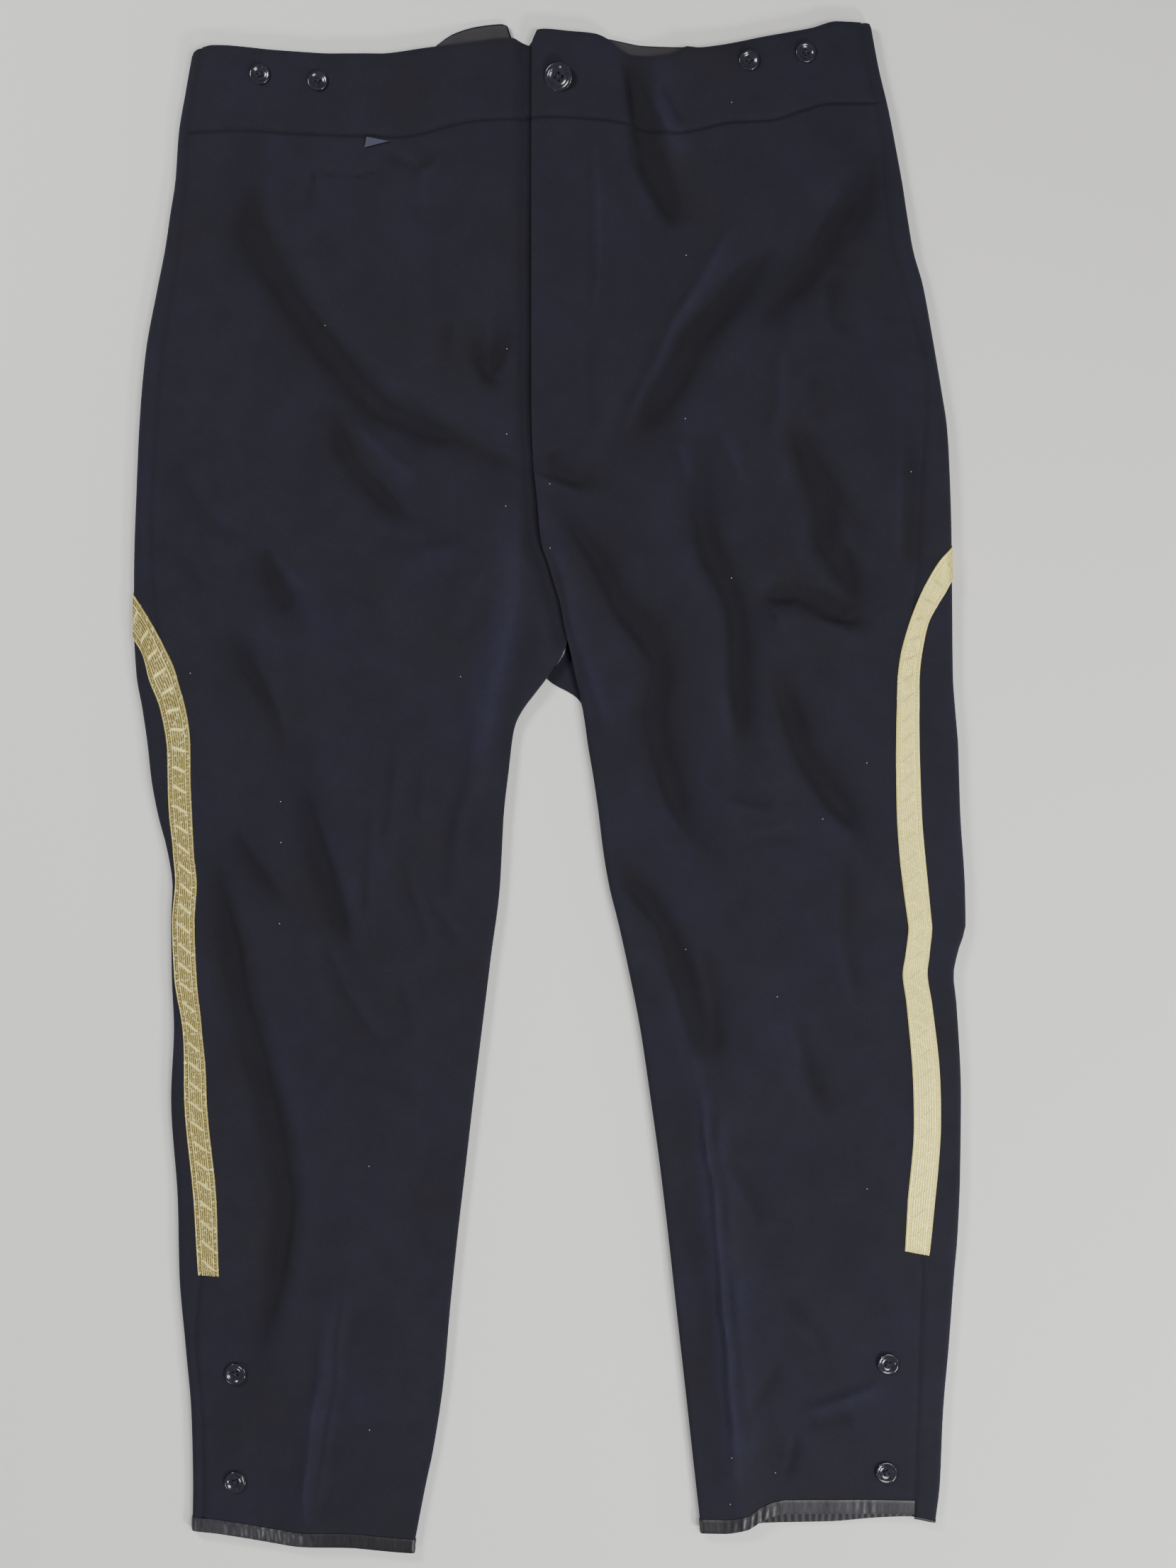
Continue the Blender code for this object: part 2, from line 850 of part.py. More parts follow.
def make_leg(side, collection, materials):
    leg = LEGS[side]
    leftwards = leg["inward"] < 0
    columns = (FRONT_FLAT_COLUMNS, TURN_COLUMNS)
    stations = leg["front_stations"]
    rows = sum(station[2] for station in stations)
    rows_at = panel_rows(stations, leg["hem_front"], leg["waist_seam"])
    front = front_surface(leg, rows_at, columns, leg["front_rolls"])
    name = f"front_{side}"
    grid_object(name, sum(columns), rows, front, WOOL, leftwards, collection, materials["wool"])
    columns = (STRIP_COLUMNS, FOLD_COLUMNS_ROUND, BACK_FLAT_COLUMNS, TURN_COLUMNS)
    rows_at = panel_rows(leg["back_stations"], leg["hem_back"], level)
    back = back_surface(leg, rows_at, columns, leg["back_rises"])
    name = f"back_{side}"
    grid_object(name, sum(columns), rows, back, WOOL, not leftwards, collection, materials["wool"])


def make_band(side, collection, materials):
    leg = LEGS[side]
    leftwards = leg["inward"] < 0
    seam_drops = leg["front_stations"][0][:2]
    columns = (2 * FRONT_FLAT_COLUMNS, 1)
    rows_at = band_rows(seam_drops, leg["waist_seam"], leg["front_corners"], leg["top_front"])
    front = front_surface(leg, rows_at, columns)
    name = f"waistband_front_{side}"
    grid_object(name, sum(columns), BAND_ROWS, front, BAND, leftwards, collection, materials["wool"])
    columns = (STRIP_COLUMNS, FOLD_COLUMNS_ROUND, 2 * BACK_FLAT_COLUMNS, 0)
    rows_at = band_rows(seam_drops, level, leg["back_corners"], leg["top_back"])
    back = back_surface(leg, rows_at, columns)
    name = f"waistband_back_{side}"
    grid_object(name, sum(columns), BAND_ROWS, back, BAND, not leftwards, collection, materials["wool"])


def make_band_lining(side, collection, materials):
    """Lining on the inner side of the back band, which shows over the front band."""
    leg = LEGS[side]
    rows_at = band_rows(leg["front_stations"][0][:2], level, leg["back_corners"], leg["top_back"])
    inward = leg["inward"]

    def point(across, along):
        row = rows_at(blend(LINING_EDGE_SHARE, 1 - LINING_EDGE_SHARE, along))
        outer_x = leg["outer"](row["outer"])
        end = leg["inner_back"](row["inner"])
        x = blend(outer_x + inward * LINING_OUTER_INSET, end - inward * LINING_INNER_INSET, across)
        return place(x, row_drop(row, x, outer_x, end), BAND + SEAM_GAP + LINING)

    name = f"waistband_lining_{side}"
    grid_object(name, LINING_COLUMNS, 1, point, LINING, inward < 0, collection, materials["lining"])


def make_button_stand(collection, materials):
    """The strip under the fly that the wearer's right front ends in."""
    start = LEGS["right"]["inner_front"]

    def point(across, along):
        drop = blend(STAND_DROP, STAND_TOP_DROP, along)
        return place(start(drop) + SEAM_GAP + STAND_WIDTH * across, drop, LAP_TOP)

    name = "fly_button_stand"
    grid_object(name, STAND_COLUMNS, STAND_ROWS, point, WOOL, False, collection, materials["wool"])


def make_lace(side, collection, materials):
    """Gold lace down the side, which starts round the back and ends square above the hem."""
    leg = LEGS[side]
    table = leg["lace"]
    numbered = [(i, *row) for i, row in enumerate(table)]
    edges = [curve_through(numbered, k + 1) for k in range(4)]

    def where(across, along):
        outer_drop, outer_inset, inner_drop, inner_inset = (
            edge((1 - along) * (len(table) - 1)) for edge in edges
        )
        return blend(outer_inset, inner_inset, across), blend(outer_drop, inner_drop, across)

    def on_cloth(across, along):
        return over_outer_fold(leg, *where(across, along))

    def point(across, along):
        near_fold = smooth_step(1 - where(across, along)[0] / LACE_FOLD_REACH)
        offset = blend(LACE_OFFSET, LACE_FOLD_OFFSET, near_fold)
        return moved_out(leg, on_cloth, across, along, offset)

    name = f"side_lace_{side}"
    rows = 2 * len(table)
    downward = leg["inward"] < 0
    grid_object(name, LACE_COLUMNS, rows, point, -LACE, downward, collection, materials["lace"])


def make_hem_ribbon(side, collection, materials):
    """Binding on the lower edge of a front."""
    leg = LEGS[side]
    columns = (FRONT_FLAT_COLUMNS, TURN_COLUMNS)
    rows_at = hem_rows(leg["front_stations"], leg["hem_front"])
    front = front_surface(leg, rows_at, columns, leg["front_rolls"])

    def point(across, along):
        return moved_out(leg, front, across, along, RIBBON_OFFSET)

    name = f"hem_ribbon_{side}"
    grid_object(name, sum(columns), 1, point, -RIBBON, leg["inward"] < 0, collection, materials["ribbon"])


def make_back_hem_ribbon(collection, materials):
    """Inner side of the left leg's back binding, which shows below the shorter front."""
    leg = LEGS["left"]
    rows_at = hem_rows(leg["back_stations"], leg["hem_back"])

    def point(across, along):
        row = rows_at(along)
        outer_x = leg["outer"](row["outer"])
        end = leg["inner_back"](row["inner"])
        x = blend(outer_x - BACK_RIBBON_OUTER_INSET, end + BACK_RIBBON_INNER_INSET, across)
        return place(x, row_drop(row, x, outer_x, end), WOOL + SEAM_GAP + RIBBON)

    name = "hem_ribbon_left_back"
    grid_object(name, LINING_COLUMNS, 1, point, RIBBON, True, collection, materials["ribbon"])


def make_pocket_corner(collection, materials):
    leg = LEGS["right"]
    bm = bmesh.new()
    bmesh.ops.create_circle(bm, cap_ends=True, segments=3, radius=1)
    for vertex, (x, drop) in zip(bm.verts, POCKET_CORNER):
        vertex.co = place(x, drop, top_height(leg, x, drop) + POCKETING_OFFSET)
    bm.normal_update()
    if any(face.normal.z < 0 for face in bm.faces):
        bmesh.ops.reverse_faces(bm, faces=bm.faces)
    mesh = bpy.data.meshes.new("watch_pocket_corner")
    bm.to_mesh(mesh)
    bm.free()
    mesh.materials.append(materials["pocketing"])
    obj = bpy.data.objects.new("watch_pocket_corner", mesh)
    collection.objects.link(obj)
    solidify = obj.modifiers.new("Wall", "SOLIDIFY")
    solidify.thickness = POCKETING * MM
    solidify.offset = 1


def button_profile(width, thickness):
    """Half section of a button as (radius, height), from the dished middle over the rim to the back."""
    half = width / 2
    return (
        (0, thickness * 0.6),
        (half * 0.6, thickness * 0.6),
        (half * 0.74, thickness),
        (half * 0.9, thickness),
        (half, thickness * 0.55),
        (half * 0.84, 0),
        (0, 0),
    )


def turned_mesh(name, profile):
    """A closed turned shape from a profile that starts and ends on the axis."""
    bm = bmesh.new()
    ring = [bm.verts.new((radius * MM, 0, height * MM)) for radius, height in profile]
    for a, b in zip(ring, ring[1:]):
        bm.edges.new((a, b))
    geometry = bm.verts[:] + bm.edges[:]
    full_turn = 2 * math.pi
    bmesh.ops.spin(
        bm, geom=geometry, axis=(0, 0, 1), cent=(0, 0, 0), angle=full_turn, steps=BUTTON_SIDES
    )
    bmesh.ops.remove_doubles(bm, verts=bm.verts, dist=0.00001)
    bmesh.ops.recalc_face_normals(bm, faces=bm.faces)
    mesh = bpy.data.meshes.new(name)
    bm.to_mesh(mesh)
    bm.free()
    return mesh


def make_button(name, x, drop, width, thickness, collection, cutters, materials):
    leg = LEGS["left" if x > CENTRE_FRONT(drop) else "right"]
    reach = width * BUTTON_SEAT
    turns = [math.pi / 3 * i for i in range(6)]
    around = [top_height(leg, x + reach * math.cos(a), drop + reach * math.sin(a)) for a in turns]
    seat = place(x, drop, max(around) + SEAM_GAP)
    mesh = turned_mesh(name, button_profile(width, thickness))
    mesh.materials.append(materials["button"])
    mesh.shade_smooth()
    mesh.set_sharp_from_angle(angle=math.radians(35))
    button = bpy.data.objects.new(name, mesh)
    button.location = seat
    collection.objects.link(button)
    for i in range(4):
        turn = math.pi / 4 + i * math.pi / 2
        offset = Vector((math.cos(turn), math.sin(turn), 0)) * width * HOLE_SPACING * MM
        make_thread_hole(button, i + 1, seat + offset, width, thickness, cutters)


def make_thread_hole(button, number, centre, width, thickness, cutters):
    radius = width * HOLE_WIDTH / 2 * MM
    bm = bmesh.new()
    bmesh.ops.create_cone(
        bm,
        cap_ends=True,
        segments=5,
        radius1=radius,
        radius2=radius,
        depth=4 * thickness * MM,
        matrix=Matrix.Translation(centre),
    )
    mesh = bpy.data.meshes.new(f"{button.name}_bore_{number}")
    bm.to_mesh(mesh)
    bm.free()
    cutter = bpy.data.objects.new(mesh.name, mesh)
    cutter.hide_render = True
    cutter.display_type = "WIRE"
    cutters.objects.link(cutter)
    cut = button.modifiers.new(f"Thread hole {number}", "BOOLEAN")
    cut.operation = "DIFFERENCE"
    cut.object = cutter


def cut_waist_seam(leg):
    """Lets the band and the front panel share the chords of their seam."""
    row = {"outer": leg["front_stations"][0][0], "inner": leg["front_stations"][0][1]}
    start, turn_start = front_span(leg, row)[:2]
    leg["waist_seam"] = chords_of(leg["waist_seam"], start, turn_start, FRONT_FLAT_COLUMNS)


def main():
    clear_scene()
    garment = new_collection("Riding trousers")
    cutters = new_collection("Cutters")
    materials = make_materials()
    for side, leg in LEGS.items():
        cut_waist_seam(leg)
        make_leg(side, garment, materials)
        make_band(side, garment, materials)
        make_band_lining(side, garment, materials)
        make_hem_ribbon(side, garment, materials)
        make_lace(side, garment, materials)
    make_button_stand(garment, materials)
    make_back_hem_ribbon(garment, materials)
    make_pocket_corner(garment, materials)
    for name, x, drop, width, thickness in BUTTONS:
        make_button(name, x, drop, width, thickness, garment, cutters, materials)


main()
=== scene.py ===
import math

import bmesh
import bpy
import numpy as np
from mathutils import Matrix, Vector


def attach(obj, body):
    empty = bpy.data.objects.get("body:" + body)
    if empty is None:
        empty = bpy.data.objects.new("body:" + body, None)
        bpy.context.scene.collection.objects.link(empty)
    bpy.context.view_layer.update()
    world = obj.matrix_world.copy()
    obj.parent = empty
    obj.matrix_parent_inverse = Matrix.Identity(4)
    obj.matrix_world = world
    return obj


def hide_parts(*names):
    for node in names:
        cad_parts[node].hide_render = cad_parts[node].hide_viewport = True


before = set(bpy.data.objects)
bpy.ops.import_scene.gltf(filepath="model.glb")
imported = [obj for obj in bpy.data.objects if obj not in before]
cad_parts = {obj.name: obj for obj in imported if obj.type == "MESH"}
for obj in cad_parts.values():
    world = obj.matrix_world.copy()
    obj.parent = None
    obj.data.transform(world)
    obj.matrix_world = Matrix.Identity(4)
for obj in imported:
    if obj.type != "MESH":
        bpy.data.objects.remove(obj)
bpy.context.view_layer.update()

# Riding trousers of milled navy wool with gold side lace, laid flat on their back
mm = 0.001
garmentLength = 1018.5


# The photograph: straight down on the garment
photoView = {
    "centre": (0.0256, 0.0024),  # what the middle of the picture looks at
    "height": 1.040,  # what the picture takes in down its long side
    "lens": 50.0,
    "sensor": 36.0,
    "clothTop": 0.010,
}
studio = {
    "lights": (  # name, place, size, energy
        ("keyLight", (-1.05, 0.9, 1.2), 0.45, 22.0),  # from the upper left
        ("fillLight", (0.66, -0.2, 1.6), 0.6, 18.0),  # overhead, towards the right
        ("hemLight", (1.05, -1.25, 1.1), 0.35, 23.0),  # brightens the shins and the bindings
        ("edgeLight", (1.7, -0.4, 0.42), 0.3, 6.0),  # low, along the right edge
        ("glintLight", (-0.8, -1.0, 0.8), 0.2, 3.5),  # small, for the gloss of the buttons' rims
    ),
    "world": ("#f4f5f7", 0.2),
    "floor": "#d9d8d5",
}


def linearColour(hexColour):
    parts = [int(hexColour[i:i + 2], 16) / 255 for i in (1, 3, 5)]
    return tuple(p / 12.92 if p <= 0.04045 else ((p + 0.055) / 1.055) ** 2.4 for p in parts) + (1.0,)


def setNode(material, node, settings=None, links=None):
    # settings go to sockets by name or number, or else to the node itself; links name a socket to feed
    for name, value in (settings or {}).items():
        if isinstance(value, str) and value.startswith("#"):
            value = linearColour(value)
        if isinstance(name, int) or name in node.inputs:
            node.inputs[name].default_value = value
        else:
            setattr(node, name, value)
    for name, source in (links or {}).items():
        material.node_tree.links.new(source, node.inputs[name])


def addNode(material, kind, settings=None, links=None, gives=0):
    # gives the output, by name or number, that later nodes take
    node = material.node_tree.nodes.new("ShaderNode" + kind)
    setNode(material, node, settings, links)
    return node.outputs[gives]


def startMaterial(name):
    material = bpy.data.materials.new(name)
    material.use_nodes = True
    return material, material.node_tree.nodes["Principled BSDF"]


def setUpCamera():
    view = photoView
    camera = bpy.data.cameras.new("camera")
    camera.lens = view["lens"]
    camera.sensor_width = view["sensor"]
    camera.clip_start = 0.01
    holder = bpy.data.objects.new("camera", camera)
    distance = view["lens"] / view["sensor"] * view["height"]
    holder.location = (*view["centre"], distance + view["clothTop"])
    bpy.context.scene.collection.objects.link(holder)
    bpy.context.scene.camera = holder


def setUpStudio():
    for name, where, size, energy in studio["lights"]:
        light = bpy.data.lights.new(name, "AREA")
        light.size = size
        light.energy = energy
        lamp = bpy.data.objects.new(name, light)
        lamp.location = where
        lamp.rotation_euler = (-Vector(lamp.location)).to_track_quat("-Z", "Y").to_euler()
        bpy.context.scene.collection.objects.link(lamp)
    world = bpy.data.worlds.new("studio")
    world.use_nodes = True
    background = world.node_tree.nodes["Background"]
    background.inputs["Color"].default_value = linearColour(studio["world"][0])
    background.inputs["Strength"].default_value = studio["world"][1]
    bpy.context.scene.world = world
    bpy.ops.object.select_all(action="DESELECT")
    bpy.ops.mesh.primitive_plane_add(size=8, location=(0, 0, -0.0002))
    floor = bpy.context.object
    floor.name = "floor"
    paper, shader = startMaterial("pale_paper_backdrop")  # matt card, so the garment's shadow stays soft
    setNode(paper, shader, {"Base Color": studio["floor"], "Roughness": 0.9})
    floor.data.materials.append(paper)


setUpCamera()
setUpStudio()
print("camera and studio are set")


# Lengths in these tables are millimetres: a drop is measured down from the waist's highest point, and x
# from the middle, positive towards the wearer's left. They are the edges that the solids were cut to
restHeights = (
    (0, 9.2), (70, 9.4), (300, 10.0), (450, 9.6), (650, 8.8), (850, 8.0), (1000, 6.8),
)
legs = {
    "right": {
        "inward": 1,
        "foldDepth": 1.0,
        # painted highlight along the back's outer fold
        "foldHighlight": 1.0,
        "outer": (  # drop, x, and how far in the side seam is
            (20, -237.5, 7), (48, -242.5, 7), (76, -247, 7), (105, -249, 8), (128, -252.5, 9),
            (152, -256, 10), (175, -260.5, 11), (222, -269, 12), (269, -273, 12), (316, -275, 11),
            (363, -276.5, 12), (400, -276.7, 16), (434, -275, 18), (457, -271, 21), (481, -267.5, 22),
            (504, -265, 20), (528, -260.5, 16), (551, -254.5, 11), (575, -251, 9), (598, -252, 9),
            (635, -251.5, 10), (669, -250, 13), (716, -252, 17), (786, -247.5, 19), (833, -246.5, 15),
            (880, -242.5, 7), (927, -238.5, 7), (974, -237.5, 7), (1005, -238, 7),
        ),
        "innerFront": (  # drop, x of the front's inner edge
            (10, -8), (281, -7.3), (320, -4), (344, -1.5), (372, 6.5), (390, 10.8), (404, 12.6),
            (411, 12), (417, 10.3), (427, 4.7), (437, -2.4), (448, -10.8), (457, -17.4), (467, -22.6),
            (476, -24.6), (495, -26.8), (528, -30.5), (551, -31.7), (575, -33), (622, -39), (669, -44.8),
            (716, -50.6), (763, -56), (810, -61.5), (857, -66.3), (904, -70.5), (951, -77.6),
            (974, -82.5), (1013, -90),
        ),
        "innerBack": (  # drop, x of the back's inner edge, down to the crotch
            (1, -28), (12, -24.5), (22, -19.6), (200, -17.3), (320, -11.3), (372, -2.3), (400, 7.2),
            (411, 10), (417, 9.7),
        ),
        "topFront": (  # x, drop of the waist's top edge
            (-238, 20.7), (-223, 16), (-173, 20.2), (-146, 21.6), (-113, 21.6), (-83, 17.9), (-63, 15.5),
            (-48, 13.6), (-33, 11.7), (-25, 11.3), (-18, 14), (-8, 17.5),
        ),
        "topBack": (  # x, drop
            (-238, 20.7), (-230, 18.3), (-218, 19), (-173, 23), (-113, 24), (-85, 20.5), (-79, 16.9),
            (-63, 6.1), (-46, 1.4), (-31, 0), (-28, 1.3),
        ),
        "waistSeam": (  # x, drop
            (-246, 74.3), (-230, 73), (-203, 72), (-176, 73.6), (-126, 76), (-104, 76.6), (-86, 74.7),
            (-69, 70), (-51, 66), (-32, 64.8), (8, 64.2),
        ),
        "hemFront": (  # x, drop
            (-238, 1003.5), (-223, 1005), (-203, 1008), (-181, 1012), (-166, 1014.2), (-133, 1014.8),
            (-108, 1017), (-90, 1018.5),
        ),
        "hemBack": (  # x, drop
            (-238, 1003.5), (-181, 1009.5), (-133, 1012), (-90, 1016),
        ),
        "stations": (  # outer drop, inner drop, rows of 20 mm to the next
            (75, 64.5, 17), (384, 380, 2), (402, 404, 1), (411, 417, 2), (425, 437, 4), (470, 476, 23),
            (984, 995, 1),
        ),
        "hemStations": ((1003.5, 1018.5, 0), (1003.5, 1016, 0)),
        "frontCorners": (20.7, 17.5),
        "backCorners": (20.7, 1.3),
        "frontRolls": (413, 440),
        "backRises": (440, 462),
        "lace": (  # outer drop, outer inset, inner drop, inner inset
            (405, -2.5, 376, -2.5), (410, 0, 380, 0), (422, 6, 397, 11), (439, 9, 415, 20.5),
            (457, 12.5, 437, 28), (478, 13.5, 467, 30), (500, 12, 495, 28), (528, 8, 525, 24),
            (560, 3.5, 560, 17.5), (600, 1.5, 600, 16.5), (635, 2.5, 635, 17.5), (670, 6.5, 670, 19.5),
            (706, 9, 706, 24), (780, 11, 780, 26.5), (833, 13, 834, 27),
        ),
        "mainFolds": (  # height, half width, path as x and drop
            (-3.2, 12, ((-198, 88), (-198, 140), (-176, 174), (-148, 216), (-117, 255), (-67, 275),
                        (-35, 289))),
            (-2.0, 12, ((-143, 266), (-122, 304), (-95, 328))),
            (2.6, 11, ((-20, 328), (-31, 411), (-41, 458), (-46, 500))),
            (-2.2, 9, ((-47, 208), (-38, 236), (-24, 198))),
            (-1.8, 11, ((-209, 411), (-199, 428), (-190, 452))),
            (-1.8, 11, ((-188, 360), (-171, 393))),
            (-1.8, 11, ((-207, 548), (-186, 577))),
            (-1.8, 11, ((-164, 490), (-152, 570), (-135, 617))),
            (-3.6, 10, ((-224, 561), (-207, 633), (-189, 710), (-174, 780), (-181, 838), (-194, 892))),
            (1.6, 8, ((-140, 848), (-154, 938), (-162, 1003))),
        ),
    },
    "left": {
        "inward": -1,
        "foldDepth": 1.35,
        "foldHighlight": 3.0,
        "outer": (  # drop, x, and how far in the side seam is
            (0, 213.5, 7), (30, 219, 7), (60, 226, 7), (81, 230, 8), (105, 234.5, 11), (128, 238, 13),
            (152, 242, 13), (175, 248.5, 13), (199, 253, 11), (222, 257, 8), (246, 261, 11),
            (269, 264.5, 15), (293, 266, 18), (340, 267.5, 22), (387, 268, 25), (434, 268.5, 29),
            (457, 270, 31), (481, 272, 34), (528, 273.5, 34), (575, 276.5, 33), (600, 277, 30),
            (620, 271.5, 27), (634, 269, 26), (653, 271, 26), (716, 274, 23.5), (763, 273.5, 24),
            (810, 271.5, 24), (833, 269.5, 22), (880, 266, 20), (927, 262, 17.5), (974, 260, 17),
            (998, 257, 14.5),
        ),
        "innerFront": (  # drop, x of the front's inner edge
            (5, -8), (16, -11.8), (64, -12), (250, -12), (281, -11.3), (301, -10), (320, -8),
            (344, -5.8), (352, -4), (360, -1), (373, 2.8), (388, 7.3), (404, 10.3), (424, 15),
            (437, 17.8), (450, 20.7), (462, 22.8), (481, 25.5), (504, 29.4), (528, 32.8), (551, 35.6),
            (575, 39.7), (598, 45.4), (622, 50.8), (669, 60.2), (716, 67.2), (763, 73.7), (810, 79.3),
            (857, 84.5), (904, 89.8), (951, 95), (1001, 100.6),
        ),
        "innerBack": (  # drop, x of the back's inner edge, down to the crotch
            (8, -9.5), (15, -14), (22, -18.8), (200, -16.5), (320, -10.5), (372, -1.5), (400, 8.1),
            (411, 11.2), (417, 11.1), (427, 5.6), (437, -1.5), (440.5, 3), (448, 16.5), (453, 21),
        ),
        "topFront": (  # x, drop of the waist's top edge
            (-8, 5.8), (-4, 5.2), (12, 6.6), (30, 8.5), (38, 11.7), (44, 16.4), (49, 20.2), (56, 22.6),
            (68, 23.5), (78, 22.6), (85, 20.7), (91, 17), (99, 17.8), (111, 16.4), (143, 10.3),
            (174, 4.7), (191, 0.3), (213, 1.4),
        ),
        "topBack": (  # x, drop
            (-9, 8.2), (12, 8.8), (35, 9.6), (49, 12.2), (61, 14.6), (82, 15.5), (91, 15.6), (99, 20),
            (143, 12.5), (191, 2.6), (213, 1.6),
        ),
        "waistSeam": (  # x, drop
            (-20, 64), (0, 62.5), (28, 64), (49, 66.7), (82, 74.3), (99, 71.4), (120, 66.8), (147, 65.4),
            (166, 59.7), (187, 54.2), (225, 54.4),
        ),
        "hemFront": (  # x, drop
            (101, 1005), (116, 1005.3), (131, 1003), (141, 997), (148, 994), (157, 992.2), (200, 992),
            (244, 992.4),
        ),
        "hemBack": (  # x, drop
            (101, 1003.5), (131, 1001), (145, 999.7), (188, 998.8), (218, 996.4), (240, 995.6),
            (257, 998.8),
        ),
        "stations": (  # outer drop, inner drop, rows of 20 mm to the next
            (54.5, 64, 17), (384, 380, 2), (402, 404, 1), (411, 417, 2), (425, 437, 2), (443, 453, 2),
            (470, 476, 23), (974, 983, 1),
        ),
        "hemStations": ((992.5, 1005, 0), (998.5, 1003.5, 0)),
        "frontCorners": (1.4, 5.8),
        "backCorners": (1.4, 8.2),
        "frontRolls": (430, 462),
        "backRises": (462, 478),
        "lace": (  # outer drop, outer inset, inner drop, inner inset
            (370, -2.5, 345, -2.5), (373, 1.2, 349, 0), (380, 5.2, 359, 9), (389, 10.8, 370, 16),
            (400, 16.5, 386, 24), (413, 19.7, 405, 31), (430, 22.4, 425, 36), (452, 24, 452, 39),
            (490, 26.6, 492, 42.5), (553, 26, 553, 43), (601, 23, 603, 38.5), (622, 19, 622, 35),
            (653, 17, 653, 34), (700, 14.5, 700, 32.5), (735, 14, 737, 32), (786, 17, 786, 35),
            (820, 18.5, 817, 35),
        ),
        "mainFolds": (  # height, half width, path as x and drop
            (-3.0, 10, ((55, 26), (57, 50), (61, 72), (70, 105), (79, 126))),
            (1.8, 10, ((72, 30), (76, 62), (84, 92))),
            (-2.4, 14, ((210, 98), (194, 130), (166, 165), (149, 190))),
            (-3.2, 13, ((143, 155), (99, 201), (70, 250), (46, 284))),
            (-2.6, 13, ((5, 316), (26, 354), (45, 387), (66, 412), (72, 432), (66, 457), (71, 486),
                        (90, 533), (106, 551))),
            (-2.2, 11, ((45, 556), (63, 584), (82, 622), (99, 664), (108, 700))),
            (-2.4, 11, ((99, 283), (101, 340), (120, 382), (128, 445), (131, 487))),
            (-3.0, 10, ((162, 274), (182, 323), (181, 348), (205, 383))),
            (-2.4, 10, ((140, 385), (164, 381), (204, 397))),
            (-2.6, 11, ((152, 434), (157, 457), (167, 486), (186, 514), (200, 528), (207, 542))),
            (2.4, 11, ((96, 692), (111, 800), (122, 938), (127, 990))),
            (-1.4, 9, ((168, 690), (181, 716))),
            (-1.6, 8, ((-8, 290), (14, 304), (34, 308))),
        ),
    },
}

